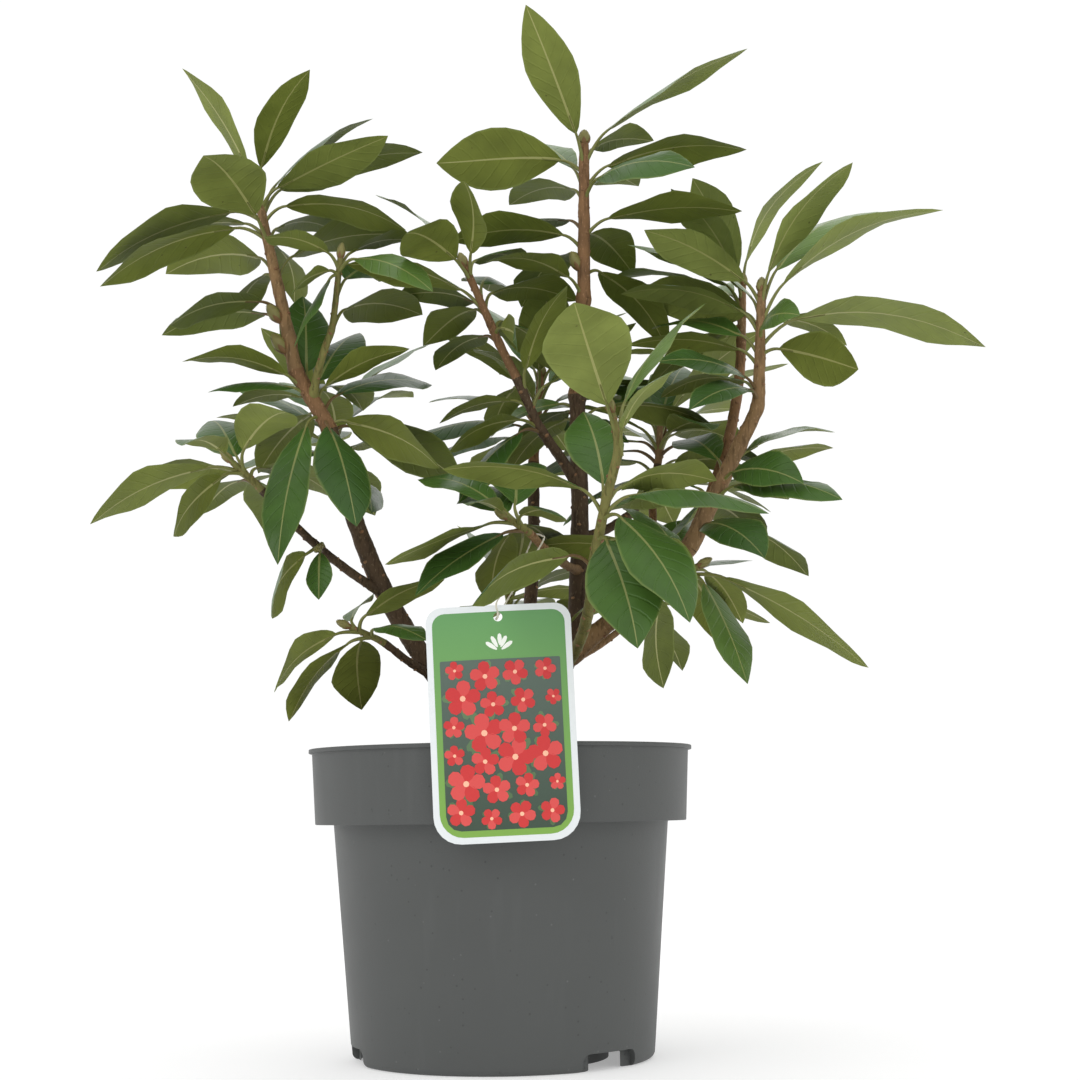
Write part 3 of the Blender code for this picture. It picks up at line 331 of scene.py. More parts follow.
SHOOTS = (
    Shoot(
        "tier_centre", "bough_centre", (0.050, 0.000, 0.398), (0.0100, 0.0098),
        (
            Leaf(122, -9, 0.070, 0, 0.010), Leaf(153, -12, 0.064, -40, 0.005),
            Leaf(18, -2, 0.092, -10, 0.012),
        ),
        others=3, bud=False,
    ),
    Shoot(
        "crown_centre", "bough_centre_upper", (0.057, 0.000, 0.559), (0.0085, 0.0060),
        (
            Leaf(-122, 50, 0.102, 12, 0.008, 0.33, -0.02), Leaf(-175, -1, 0.093, 60, 0.012, 0.46),
            Leaf(-20, 27, 0.119, 14, 0.005, 0.30, 0.06), Leaf(0, 10, 0.104, -15, 0.022),
            Leaf(-45, -3, 0.090, 45, 0.030), Leaf(45, 23, 0.070, -25, 0.008),
            Leaf(125, 11, 0.085, 15, 0.033), Leaf(173, 4, 0.085, 25, 0.063),
            Leaf(-15, 2, 0.100, -10, 0.053, arch=0.05), Leaf(65, -4, 0.080, -25, 0.058),
            Leaf(-135, 2, 0.085, 5, 0.094),
        ),
        others=9, facing=(50, 150),
    ),
    Shoot(
        "tier_left", "bough_left", (-0.120, -0.035, 0.408), (0.0095, 0.0088),
        (
            Leaf(-149, 7, 0.078, 10, 0.011), Leaf(-170, 0, 0.060, -25, 0.016),
            Leaf(150, 4, 0.062, 10, 0.022), Leaf(66, 43, 0.080, 10, 0.018),
            Leaf(-5, 26, 0.066, -20, 0.020), Leaf(30, 19, 0.085, 25, 0.026),
            Leaf(-13, -24, 0.080, -40, 0.034, 0.46), Leaf(19, -21, 0.095, -30, 0.037, 0.44),
            Leaf(100, 60, 0.082, 0, 0.014, 0.42), Leaf(-111, -64, 0.112, 5, 0.024, 0.30),
            Leaf(-62, -53, 0.094, -5, 0.030, 0.40),
        ),
        others=3, bud=False,
    ),
    Shoot(
        "crown_left", "bough_left_upper", (-0.145, -0.030, 0.524), (0.0080, 0.0052),
        (
            Leaf(175, 61, 0.092, 30, 0.001, 0.32, 0.07), Leaf(-56, 41, 0.088, 10, 0.002, 0.34, 0.12),
            Leaf(-106, 15, 0.092, 20, 0.030, 0.50), Leaf(-24, 17, 0.094, -15, 0.007, arch=0.0),
            Leaf(19, 23, 0.112, -20, 0.011), Leaf(-163, -24, 0.108, 20, 0.014),
            Leaf(-167, -23, 0.106, 14, 0.026), Leaf(151, 1, 0.090, 5, 0.027),
            Leaf(139, 8, 0.104, 35, 0.050, 0.40), Leaf(-9, -9, 0.092, -15, 0.016),
            Leaf(39, 22, 0.108, -25, 0.054), Leaf(116, -12, 0.080, -25, 0.055),
            Leaf(85, -9, 0.085, 30, 0.037), Leaf(-135, -17, 0.085, 25, 0.076),
            Leaf(160, 1, 0.085, 10, 0.086),
        ),
        others=4, facing=(20, 130),
    ),
    Shoot(
        "tier_right", "bough_right", (0.148, -0.015, 0.363), (0.0105, 0.0088),
        (
            Leaf(18, 22, 0.078, 10, 0.014), Leaf(20, 17, 0.080, -15, 0.024),
            Leaf(-55, -10, 0.070, 50, 0.022, 0.44), Leaf(-50, -7, 0.090, 25, 0.034),
            Leaf(-70, -18, 0.090, 20, 0.056),
        ),
        others=9, facing=(30, 150), bud=False,
    ),
    Shoot(
        "crown_right", "bough_right_upper", (0.164, -0.015, 0.458), (0.0080, 0.0052),
        (
            Leaf(-160, 25, 0.085, 20, 0.002, 0.44), Leaf(-50, 43, 0.102, 15, 0.005, arch=0.16),
            Leaf(24, 34, 0.116, 15, 0.003, arch=0.18), Leaf(-20, 26, 0.124, 0, 0.012, 0.32, 0.13),
            Leaf(-16, -8, 0.136, -15, 0.024, 0.36, 0.13), Leaf(-42, -20, 0.076, -75, 0.034, 0.46),
            Leaf(140, 20, 0.100, 50, 0.018), Leaf(20, -9, 0.060, -10, 0.018),
            Leaf(-75, -2, 0.060, 60, 0.026), Leaf(-150, 7, 0.075, -40, 0.060),
            Leaf(135, 7, 0.080, 10, 0.060), Leaf(-130, -14, 0.075, -25, 0.064),
        ),
        others=8, facing=(85, 185),
    ),
    Shoot(
        "tier_centre_left", "bough_centre_left", (0.013, -0.030, 0.403), (0.0060, 0.0056),
        (
            Leaf(-180, -12, 0.055, 10, 0.016), Leaf(112, -22, 0.052, -10, 0.004, 0.5),
            Leaf(-150, -43, 0.075, -15, 0.030), Leaf(-142, -20, 0.070, 30, 0.028),
        ),
        others=3, facing=(-70, 90), bud=False,
    ),
    Shoot(
        "crown_centre_left", "bough_centre_left_upper", (-0.017, -0.038, 0.470), (0.0052, 0.0046),
        (
            Leaf(-115, 4, 0.080, 30, 0.003, 0.46), Leaf(-88, 28, 0.075, -45, 0.002),
            Leaf(60, 16, 0.075, -10, 0.001), Leaf(50, 11, 0.095, -15, 0.022),
            Leaf(-170, 16, 0.084, 10, 0.024), Leaf(140, 17, 0.075, 25, 0.028),
            Leaf(125, -6, 0.070, 15, 0.028), Leaf(125, -5, 0.070, 0, 0.046),
            Leaf(-75, -21, 0.060, -75, 0.040),
        ),
        others=4, facing=(50, 150),
    ),
    Shoot(
        "tier_front", "bough_front", (0.063, -0.125, 0.316), (0.0062, 0.0056),
        (
            Leaf(-170, 12, 0.092, 10, 0.005), Leaf(-75, -48, 0.095, 20, 0.020, 0.46),
            Leaf(-55, -43, 0.100, 15, 0.007, 0.42), Leaf(-25, -6, 0.095, 20, 0.006),
            Leaf(-140, -19, 0.095, 40, 0.036), Leaf(42, 13, 0.090, -25, 0.002),
        ),
        others=4, facing=(30, 100), bud=False,
    ),
    Shoot(
        "crown_front", "bough_front_upper", (0.066, -0.138, 0.359), (0.0052, 0.0042),
        (
            Leaf(-106, 32, 0.102, 15, 0.012, 0.50, 0.18), Leaf(38, 51, 0.106, -15, 0.009, 0.32),
            Leaf(-65, 25, 0.070, 30, 0.018, 0.36),
        ),
    ),
    Shoot(
        "crown_left_inner", "bough_left_inner", (-0.091, -0.054, 0.472), (0.0042, 0.0038),
        (
            Leaf(-35, -21, 0.075, 30, 0.002), Leaf(-130, 2, 0.060, 10, 0.002),
            Leaf(40, 23, 0.060, -15, 0.002), Leaf(-130, -29, 0.045, 35, 0.007),
            Leaf(55, 15, 0.095, -30, 0.036), Leaf(-155, -60, 0.058, 0, 0.006, 0.44),
        ),
        others=3,
    ),
    Shoot(
        "crown_left_low", "bough_left_low", (-0.154, -0.058, 0.349), (0.0046, 0.0038),
        (
            Leaf(-170, -23, 0.090, 25, 0.002), Leaf(-105, 0, 0.070, 5, 0.001),
            Leaf(-120, -39, 0.075, 70, 0.004), Leaf(125, -9, 0.070, -5, 0.016),
            Leaf(-60, 15, 0.080, -10, 0.003, 0.44), Leaf(55, -4, 0.085, -10, 0.008),
        ),
        others=4, facing=(80, 170),
    ),
    Shoot(
        "sprig_left", "bough_left_sprig", (-0.103, -0.062, 0.297), (0.0030, 0.0028),
        (
            Leaf(-108, -34, 0.084, 70, 0.005), Leaf(-88, -60, 0.038, 20, 0.007, 0.46),
        ),
    ),
    Shoot(
        "crown_left_foot", "bough_left_foot", (-0.085, -0.060, 0.251), (0.0044, 0.0036),
        (
            Leaf(-130, -30, 0.075, 50, 0.003), Leaf(141, -37, 0.080, -15, 0.011),
            Leaf(97, -32, 0.077, -25, 0.011, 0.46), Leaf(78, 26, 0.046, -35, 0.001, 0.50),
            Leaf(-15, 26, 0.062, -20, 0.002), Leaf(-50, -7, 0.060, 15, 0.012),
        ),
        others=1, facing=(40, 100),
    ),
    Shoot(
        "crown_right_back", "bough_right_back", (0.158, 0.036, 0.475), (0.0062, 0.0046),
        (
            Leaf(151, 69, 0.085, 75, 0.002, 0.46), Leaf(-8, 59, 0.097, -10, 0.001, 0.30, 0.26),
        ),
        others=10, facing=(95, 230),
    ),
    Shoot(
        "crown_right_low", "bough_right_low", (0.117, -0.066, 0.283), (0.0048, 0.0038),
        (
            Leaf(-35, -30, 0.125, -35, 0.002, 0.30, 0.05), Leaf(-50, -59, 0.080, 0, 0.003),
            Leaf(90, -45, 0.080, -45, 0.024), Leaf(70, -27, 0.072, 10, 0.008),
            Leaf(55, -28, 0.060, 5, 0.001),
        ),
        others=5, facing=(60, 200),
    ),
    Shoot(
        "crown_mid_back", "bough_mid_back", (0.104, 0.050, 0.390), (0.0046, 0.0040),
        (
            Leaf(-70, -5, 0.080, -10, 0.012),
        ),
        others=11, facing=(-20, 230),
    ),
    Shoot(
        "crown_centre_low", "bough_centre_low", (0.007, -0.090, 0.309), (0.0044, 0.0036),
        (
            Leaf(-115, 2, 0.050, 0, 0.001), Leaf(-152, -20, 0.082, 15, 0.001, arch=0.02),
            Leaf(-149, -31, 0.080, -25, 0.011, arch=0.05), Leaf(107, -29, 0.074, -20, 0.010),
            Leaf(-60, -6, 0.060, -15, 0.005),
        ),
        others=5, facing=(60, 130),
    ),
    Shoot(
        "crown_back", "bough_back", (0.028, 0.100, 0.432), (0.0070, 0.0046),
        others=16, facing=(0, 360),
    ),
    Shoot(
        "crown_back_left", "bough_back_left", (-0.112, 0.084, 0.402), (0.0050, 0.0040),
        others=14, facing=(20, 300),
    ),
    Shoot(
        "crown_back_right", "bough_back_right", (0.110, 0.104, 0.396), (0.0050, 0.0040),
        others=14, facing=(0, 360),
    ),
    Shoot(
        "crown_back_low", "bough_back_low", (0.004, 0.126, 0.286), (0.0044, 0.0036),
        others=8, facing=(10, 130),
    ),
    Shoot(
        "crown_back_side", "bough_back_side", (0.092, 0.100, 0.290), (0.0044, 0.0036),
        others=10, facing=(-30, 180),
    ),
)
SHOOT_NAMES = [shoot.name for shoot in SHOOTS]


def shade(red, green, blue):
    """A colour as a screen shows it, from 0 to 255, turned into the light that it stands for."""
    shares = (channel / 255 for channel in (red, green, blue))
    return tuple(s / 12.92 if s <= 0.04045 else ((s + 0.055) / 1.055) ** 2.4 for s in shares)


def tinted(colour, factor):
    return tuple(channel * factor for channel in colour[:3])


class Value:
    """One number of a material. Sums and products of values add their own Math nodes."""

    def __init__(self, look, socket):
        self.look = look
        self.socket = socket

    def __add__(self, other):
        return self.look.maths("ADD", self, other)

    def __sub__(self, other):
        return self.look.maths("SUBTRACT", self, other)

    def __rsub__(self, other):
        return self.look.maths("SUBTRACT", other, self)

    def __mul__(self, other):
        return self.look.maths("MULTIPLY", self, other)

    def between(self, low, high):
        """0 up to `low`, rising to 1 from `high` on."""
        made = self.look.node("ShaderNodeMapRange", Value=self, From_Min=low, From_Max=high)
        return Value(self.look, made)

    __radd__ = __add__


class Look:
    """A material in the making: its nodes, and the shader that they feed."""

    def __init__(self, name, **constants):
        self.material = bpy.data.materials.new(name)
        self.material.use_nodes = True
        self.tree = self.material.node_tree
        self.shader = self.tree.nodes["Principled BSDF"]
        self.coordinates = self.tree.nodes.new("ShaderNodeTexCoord")
        self.feed(**constants)

    def node(self, kind, settings=None, output=0, **sockets):
        """Adds a node. Its settings come first, then what its sockets hold or are linked to."""
        made = self.tree.nodes.new(kind)
        for name, value in (settings or {}).items():
            setattr(made, name, value)
        for name, value in sockets.items():
            self.join(value, socket_named(made, name))
        return made.outputs[output]

    def join(self, value, socket):
        if isinstance(value, Value):
            value = value.socket
        if isinstance(value, bpy.types.NodeSocket):
            self.tree.links.new(value, socket)
        elif socket.type == "RGBA" and len(value) == 3:
            socket.default_value = (*value, 1)
        else:
            socket.default_value = value

    def maths(self, operation, first, second):
        settings = {"operation": operation}
        return Value(self, self.node("ShaderNodeMath", settings, Value=first, Value_001=second))

    def place(self, stretch=(1, 1, 1)):
        """Where a point lies on the piece, with the pattern's axes scaled by `stretch`."""
        spot = self.coordinates.outputs["Object"]
        return self.node("ShaderNodeMapping", Vector=spot, Scale=stretch)

    def height(self):
        """How high a point lies, in metres."""
        spot = self.coordinates.outputs["Object"]
        return Value(self, self.node("ShaderNodeSeparateXYZ", output=2, Vector=spot))

    def blade_lines(self):
        """On a leaf: the share of its length, and how far off its midrib, from 0 to 1 at its margin."""
        spot = self.node("ShaderNodeSeparateXYZ", Vector=self.coordinates.outputs["UV"]).node
        aside = self.maths("ABSOLUTE", Value(self, spot.outputs["X"]) * 2 - 1, 0.0)
        return Value(self, spot.outputs["Y"]), aside

    def noise(self, scale, detail, stretch=(1, 1, 1)):
        spot = self.place(stretch)
        return Value(self, self.node("ShaderNodeTexNoise", Vector=spot, Scale=scale, Detail=detail))

    def specks(self, scale, radius, share):
        """Round specks in a given share of the pattern's cells: 1 on a speck and 0 off it."""
        cells = self.node("ShaderNodeTexVoronoi", Vector=self.place(), Scale=scale)
        hue = self.node("ShaderNodeSeparateColor", Color=cells.node.outputs["Color"])
        chosen = Value(self, hue).between(1 - share - 0.01, 1 - share)
        return (1 - Value(self, cells).between(radius * 0.6, radius)) * chosen

    def mix(self, share, first, second):
        settings = {"data_type": "RGBA"}
        sockets = {"Factor_Float": share, "A_Color": first, "B_Color": second}
        return self.node("ShaderNodeMix", settings, output=2, **sockets)

    def relief(self, height, distance):
        """Feeds a height, from 0 to 1 over `distance` metres, to the shader as bumps."""
        self.feed(Normal=self.node("ShaderNodeBump", Height=height, Distance=distance))

    def feed(self, **sockets):
        for name, value in sockets.items():
            self.join(value, socket_named(self.shader, name))
        return self.material


def socket_named(node, name):
    return next(s for s in node.inputs if name in (s.identifier, s.name.replace(" ", "_")))


def plastic_look(settings):
    """Moulded plastic with fine specks, and faint scuffs that run down the wall."""
    look = Look("pot_plastic", Specular_IOR_Level=0.25)
    cloud = look.noise(14, 4).between(0.35, 0.65)
    scuffs = look.noise(70, 3, (1, 1, 0.12)).between(0.58, 0.72)
    dark = look.specks(300, 0.22, 0.10)
    pale = look.specks(240, 0.16, 0.06)
    grain = look.noise(1500, 2)
    colour = look.mix(cloud * 0.6, tinted(settings.colour, 0.94), tinted(settings.colour, 1.05))
    colour = look.mix(scuffs * 0.10, colour, tinted(settings.colour, 1.8))
    colour = look.mix(dark * 0.45, colour, tinted(settings.colour, 0.45))
    colour = look.mix(pale * 0.40, colour, tinted(settings.colour, 2.0))
    look.relief(grain + dark * 0.5, 0.00010)
    return look.feed(Base_Color=colour, Roughness=0.46 + cloud * 0.10 + scuffs * 0.06)


def compost_look(name, low, high):
    look = Look(name, Specular_IOR_Level=0.2)
    crumbs = look.noise(420, 5).between(0.35, 0.68)
    fibres = look.noise(260, 3, (1, 0.25, 1)).between(0.62, 0.70)
    colour = look.mix(crumbs, shade(*low), shade(*high))
    colour = look.mix(fibres * 0.6, colour, shade(118, 86, 58))
    look.relief(crumbs + fibres * 0.5, 0.0008)
    return look.feed(Base_Color=colour, Roughness=0.96 - crumbs * 0.08)


def bark_look(name, low, high, fleck):
    """Smooth young bark with fine fissures along the limb, flecks and darker seams."""
    look = Look(name, Specular_IOR_Level=0.3)
    patch = look.noise(55, 4).between(0.36, 0.66)
    seams = look.noise(520, 4, (1, 1, 0.14)).between(0.54, 0.68)
    cork = look.noise(900, 3, (1, 1, 0.35)).between(0.58, 0.72)
    colour = look.mix(patch, low, high)
    colour = look.mix(seams * 0.55, colour, tinted(low, 0.42))
    colour = look.mix(cork * 0.50, colour, fleck)
    look.relief(1 - seams * 0.8 + cork * 0.4, 0.00045)
    return look.feed(Base_Color=colour, Roughness=0.72 + seams * 0.15)


def leaf_look(name, colour, under):
    """The upper side is glossy and leathery, and the under side dull, with a few fine specks."""
    look = Look(name, Specular_IOR_Level=0.14 if under else 0.28)
    mottle = look.noise(46, 4).between(0.34, 0.66)
    fine = look.noise(520, 3)
    along, aside = look.blade_lines()
    wave = look.maths("SINE", (along * VEINS - aside * VEIN_SLANT + fine * 0.12) * math.tau, 0.0)
    veins = wave.between(0.80, 0.99) * (1 - along.between(0.80, 0.97))
    edge = aside.between(0.90, 0.99)
    tint = look.mix(mottle, tinted(colour, 0.86), tinted(colour, 1.13))
    tint = look.mix(veins * (0.30 if under else 0.20), tint, tinted(colour, 1.12 if under else 1.30))
    tint = look.mix(edge * 0.45, tint, shade(138, 150, 84))
    if under:
        tint = look.mix(look.specks(150, 0.13, 0.16) * 0.6, tint, shade(66, 58, 34))
    look.relief(veins * (0.6 if under else -0.8) + fine * 0.10 + mottle * 0.5, 0.00030)
    rough = 0.54 + mottle * 0.12 if under else 0.30 + mottle * 0.14
    return look.feed(Base_Color=tint, Roughness=rough)


def plain_look(name, colour, rough, spread=0.08, scale=120, bumps=0.00008, specular=0.4):
    """A plain finish with a little unevenness in its colour, gloss and surface."""
    look = Look(name, Specular_IOR_Level=specular)
    cloud = look.noise(scale, 3)
    tint = look.mix(cloud, tinted(colour, 1 - spread), tinted(colour, 1 + spread))
    look.relief(look.noise(scale * 9, 2), bumps)
    return look.feed(Base_Color=tint, Roughness=rough - 0.04 + cloud * 0.08)


def floor_look(name, colour, glow):
    """A matt pale floor that glows a little, so that what stands on it casts a light shadow."""
    look = Look(name, Specular_IOR_Level=0.1, Emission_Color=(1, 1, 1), Emission_Strength=glow)
    return look.feed(Base_Color=colour, Roughness=0.9)


def print_look(name, low, high, bottom, top):
    """Printed card: one colour at its foot turning into another at its head, under a soft gloss."""
    look = Look(name, Specular_IOR_Level=0.5)
    rise = look.height().between(bottom, top)
    grain = look.noise(900, 2)
    tint = look.mix(rise, low, high)
    tint = look.mix(grain * 0.12, tint, tinted(high, 0.8))
    look.relief(look.noise(60, 2), 0.00012)
    return look.feed(Base_Color=tint, Roughness=0.30 + grain * 0.06)


class Axis:
    """The bowed middle line of a limb or stem, its radii, and the plane of its first end."""

    def __init__(self, start, end, bow, thick, facing=None, bud=False):
        self.start = start
        self.end = end
        self.middle = (start + end) / 2 + bow * 2
        self.radii = thick[0] / 2, thick[1] / 2
        self.facing = facing or self.direction(0)
        self.bud = bud

    def point(self, t):
        return (1 - t) ** 2 * self.start + 2 * t * (1 - t) * self.middle + t * t * self.end

    def direction(self, t):
        return ((1 - t) * (self.middle - self.start) + t * (self.end - self.middle)).normalized()

    def radius(self, t):
        return self.radii[0] + (self.radii[1] - self.radii[0]) * t

    @property
    def length(self):
        return (self.end - self.start).length

    def rings(self):
        """Cross-sections along the tube that other leaves keep clear of."""
        sides = 8 if 2 * self.radii[0] > THICK_LIMB else 6
        side = FIRST_SIDE
        found = []
        for i in range(TUBE_STATIONS):
            t = i / (TUBE_STATIONS - 1)
            along = self.facing if i == 0 else self.direction(t)
            side = square_to(along, side)
            found.append(circle(self.point(t), along, side, self.radius(t), sides))
        if self.bud:
            along = self.direction(1)
            for share, swell in ((0.3, BUD_SWELL), (0.7, 0.7)):
                centre = self.end + along * BUD_LENGTH * share
                found.append(circle(centre, along, side, self.radii[1] * swell, sides))
            found.append([self.end + along * BUD_LENGTH])
        return found


def square_to(along, side):
    """The direction nearest to `side` that is square to `along`."""
    return (side - along * side.dot(along)).normalized()


def turn_to(*axes):
    """The turn that takes the three axes to the given directions."""
    return Matrix(axes).transposed().to_4x4()


def circle(centre, along, side, radius, sides):
    turns = (Quaternion(along, math.tau * k / sides) for k in range(sides))
    return [centre + turn @ side * radius for turn in turns]


def tree_of(rings):
    """A search tree over the shape that is skinned round rings of points. One point is a tip."""
    points = []
    rows = []
    for ring in rings:
        rows.append(list(range(len(points), len(points) + len(ring))))
        points.extend(ring)
    faces = [rows[0]] + [row for row in rows[-1:] if len(row) > 1]
    for low, high in zip(rows, rows[1:]):
        for i in range(len(low)):
            j = (i + 1) % len(low)
            if len(high) == 1:
                faces.append((low[i], low[j], high[0]))
            else:
                faces.append((low[i], low[j], high[j]))
                faces.append((low[i], high[j], high[i]))
    return BVHTree.FromPolygons(points, faces)


def grow_axes():
    """The middle line of the trunk, and of every limb and stem, each after the one that carries it."""
    root = Vector((0, 0, COMPOST_LEVEL + GAP))
    axes = {"trunk": Axis(root, Vector(TRUNK_TOP), Vector(), TRUNK_THICK, Vector((0, 0, 1)))}
    waiting = [*LIMBS, *SHOOTS]
    while waiting:
        part = next(one for one in waiting if one.after in axes)
        waiting.remove(part)
        parent = axes[part.after]
        end, bow = Vector(part.end), Vector(part.bow)
        if part.at < 1:
            axes[part.name] = Axis(parent.point(part.at), end, bow, part.thick)
        else:
            facing = parent.direction(1)
            axes[part.name] = Axis(parent.end + facing * GAP, end, bow, part.thick, facing, part.bud)
    return axes


def heading(leaf):
    """The leaf's forward direction, the direction across it, and its upper side's."""
    bearing, rise = math.radians(leaf.bearing), math.radians(leaf.rise)
    forward = Vector(
        (math.cos(bearing) * math.cos(rise), math.sin(bearing) * math.cos(rise), math.sin(rise))
    )
    across = forward.cross(Vector((0, 0, 1))).normalized()
    turn = Quaternion(forward, math.radians(leaf.roll))
    across = turn @ across
    return forward, across, across.cross(forward)


def root_of(leaf, stem):
    return stem.end + (stem.start - stem.end).normalized() * leaf.back


def rise_of_arch(leaf):
    return leaf.arch * math.cos(math.radians(leaf.rise)) * leaf.length


def leaf_rings(leaf, stem, grown=0.0, first=0.0):
    """The room that a leaf takes: diamond sections, from its root in the stem to its tip."""
    forward, across, up = heading(leaf)
    root = root_of(leaf, stem)
    arch = rise_of_arch(leaf)
    half = leaf.breadth * leaf.length / 2
    found = []
    stations = ((first, 0), (STALK_SHARE, 0), *LEAF_STATIONS)
    for share, width in stations:
        centre = root + forward * leaf.length * share + up * arch * 4 * share * (1 - share)
        wide = max(half * width, SPUR) + grown
        thick = LEAF_THICKNESS * leaf.length / 2 + grown
        if not width:
            thick = max(thick, SPUR + grown)
        margin = centre - up * LEAF_CROWN * wide * (width > 0)
        left, right = margin - across * wide, margin + across * wide
        found.append((left, centre - up * thick, right, centre + up * thick))
    found.append([root + forward * (leaf.length + grown)])
    return found


class Grower:
    """Places leaves one at a time, each clear of all that is placed already."""

    def __init__(self, axes, solids):
        self.axes = axes
        self.solids = solids
        self.limbs = {name: tree_of(axis.rings()) for name, axis in axes.items()}
        self.placed = {shoot.name: [] for shoot in SHOOTS}

    def clear(self, shoot, leaf):
        stem = self.axes[shoot.name]
        near = min(STALK_SHARE * 0.67, stem.radii[0] / leaf.length)
        whole = tree_of(leaf_rings(leaf, stem, LEAF_CLEARANCE, near))
        blade = tree_of(leaf_rings(leaf, stem, LEAF_CLEARANCE, STALK_SHARE * 0.98))
        if any(whole.overlap(solid) for solid in self.solids):
            return False
        if any(whole.overlap(tree) for name, tree in self.limbs.items() if name != shoot.name):
            return False
        if blade.overlap(self.limbs[shoot.name]):
            return False
        for name, leaves in self.placed.items():
            mine = blade if name == shoot.name else whole
            if any(mine.overlap(other) for _, other in leaves):
                return False
        return True

    def place(self, shoot, leaf, chance, spread):
        """Tries the leaf as it is, then turned a little further each time. True once it is placed."""
        for attempt in range(TRIES):
            if self.clear(shoot, leaf):
                tree = tree_of(leaf_rings(leaf, self.axes[shoot.name]))
                self.placed[shoot.name].append((leaf, tree))
                return True
            reach = spread * (attempt + 1) / TRIES
            bearing = leaf.bearing + chance.uniform(-reach, reach)
            rise = leaf.rise + chance.uniform(-reach, reach) / 2
            leaf = replace(leaf, bearing=bearing, rise=rise)
        return False


def rule_leaf(shoot, axes, number, chance):
    """The rule: leaves turn by the golden angle, upright at the stem's end and hanging at its foot."""
    share = (number + 0.5) / shoot.others
    low, high = shoot.facing
    turn = (number * GOLDEN_SHARE + chance.uniform(-TURN_JITTER, TURN_JITTER)) % 1
    return Leaf(
        bearing=low + (high - low) * turn,
        rise=YOUNG_RISE + (OLD_RISE - YOUNG_RISE) * share + chance.uniform(-RISE_JITTER, RISE_JITTER),
        length=LEAF_LENGTH * chance.uniform(*LENGTH_SHARES),
        roll=chance.uniform(-ROLL_JITTER, ROLL_JITTER),
        back=FIRST_BACK + share * (axes[shoot.name].length * STEM_SHARE - 2 * FIRST_BACK),
        breadth=LEAF_BREADTH * chance.uniform(*BREADTH_SHARES),
    )


def grow_leaves(axes, solids):
    """Every shoot's own leaves first, then the rule's, with what doesn't fit left out."""
    grower = Grower(axes, solids)
    for number, shoot in enumerate(SHOOTS):
        chance = random.Random(number)
        for leaf in shoot.leaves:
            grower.place(shoot, leaf, chance, OWN_SPREAD)
    for number, shoot in enumerate(SHOOTS):
        chance = random.Random(RULE_SEED + number)
        for i in range(shoot.others):
            grower.place(shoot, rule_leaf(shoot, axes, i, chance), chance, RULE_SPREAD)
    return {name: [leaf for leaf, _ in leaves] for name, leaves in grower.placed.items()}


def packed_tree(node):
    """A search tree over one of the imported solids."""
    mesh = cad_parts[node].data
    points = [vert.co.copy() for vert in mesh.vertices]
    return BVHTree.FromPolygons(points, [tuple(face.vertices) for face in mesh.polygons])


def placed(name, data):
    """An object in the scene that shows the given data."""
    made = bpy.data.objects.new(name, data)
    bpy.context.scene.collection.objects.link(made)
    return made


def mesh_of(name, bm):
    """A bmesh turned into a mesh, and freed."""
    mesh = bpy.data.meshes.new(name)
    bm.to_mesh(mesh)
    bm.free()
    return mesh


def piece(name, bm, looks, nodes, smooth_angle):
    """Turns a bmesh into a piece of the plant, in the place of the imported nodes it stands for."""
    made = placed(name, mesh_of(name, bm))
    made.data.shade_smooth()
    made.data.set_sharp_from_angle(angle=math.radians(smooth_angle))
    for look in looks:
        made.data.materials.append(look)
    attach(made, "root")
    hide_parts(*nodes)


def loose(name, bm):
    """A bare object, for cutting with."""
    bmesh.ops.recalc_face_normals(bm, faces=bm.faces[:])
    return placed(name, mesh_of(name, bm))


def as_shaped(thing):
    """A bmesh of an object as its modifiers or its curve shape it. The object is removed."""
    bpy.context.view_layer.update()
    evaluated = thing.evaluated_get(bpy.context.evaluated_depsgraph_get())
    bm = bmesh.new()
    bm.from_mesh(evaluated.to_mesh())
    evaluated.to_mesh_clear()
    bpy.data.objects.remove(thing, do_unlink=True)
    return bm


def cut(bm, cutters):
    """A bmesh with the cutters' shapes taken out of it. The cutters are removed."""
    target = loose("uncut", bm)
    for cutter in cutters:
        boolean = target.modifiers.new(cutter.name, "BOOLEAN")
        boolean.operation = "DIFFERENCE"
        boolean.object = cutter
    carved = as_shaped(target)
    for cutter in cutters:
        bpy.data.objects.remove(cutter, do_unlink=True)
    return carved


def new_verts(made):
    return [one for one in made["geom"] if isinstance(one, bmesh.types.BMVert)]


def faces_of(verts):
    return list({face for vert in verts for face in vert.link_faces})


def turned(profile, segments):
    """A solid of revolution from a closed profile of (radius, height), whose ends lie on the axis."""
    bm = bmesh.new()
    points = [bm.verts.new((radius, 0, height)) for radius, height in profile]
    edges = [bm.edges.new(pair) for pair in zip(points, points[1:])]
    bmesh.ops.spin(
        bm, geom=points + edges, axis=(0, 0, 1), cent=(0, 0, 0), steps=segments, angle=math.tau,
        use_merge=True,
    )
    bmesh.ops.remove_doubles(bm, verts=bm.verts[:], dist=MERGE)
    bmesh.ops.recalc_face_normals(bm, faces=bm.faces[:])
    return bm


def wall_line(inset):
    """The pot's outline up to the foot of its collar, from the axis outwards, moved in by `inset`."""
    step = POT_HEIGHT - COLLAR_HEIGHT
    return [
        (0, inset),
        (CHANNEL_RADIUS - inset, inset),
        (CHANNEL_RADIUS - inset, CHANNEL_HEIGHT + inset),
        (BASE_RADIUS - inset, CHANNEL_HEIGHT + inset),
        (BODY_RADIUS - inset, step + inset),
        (COLLAR_LOW_RADIUS - inset, step + inset),
    ]


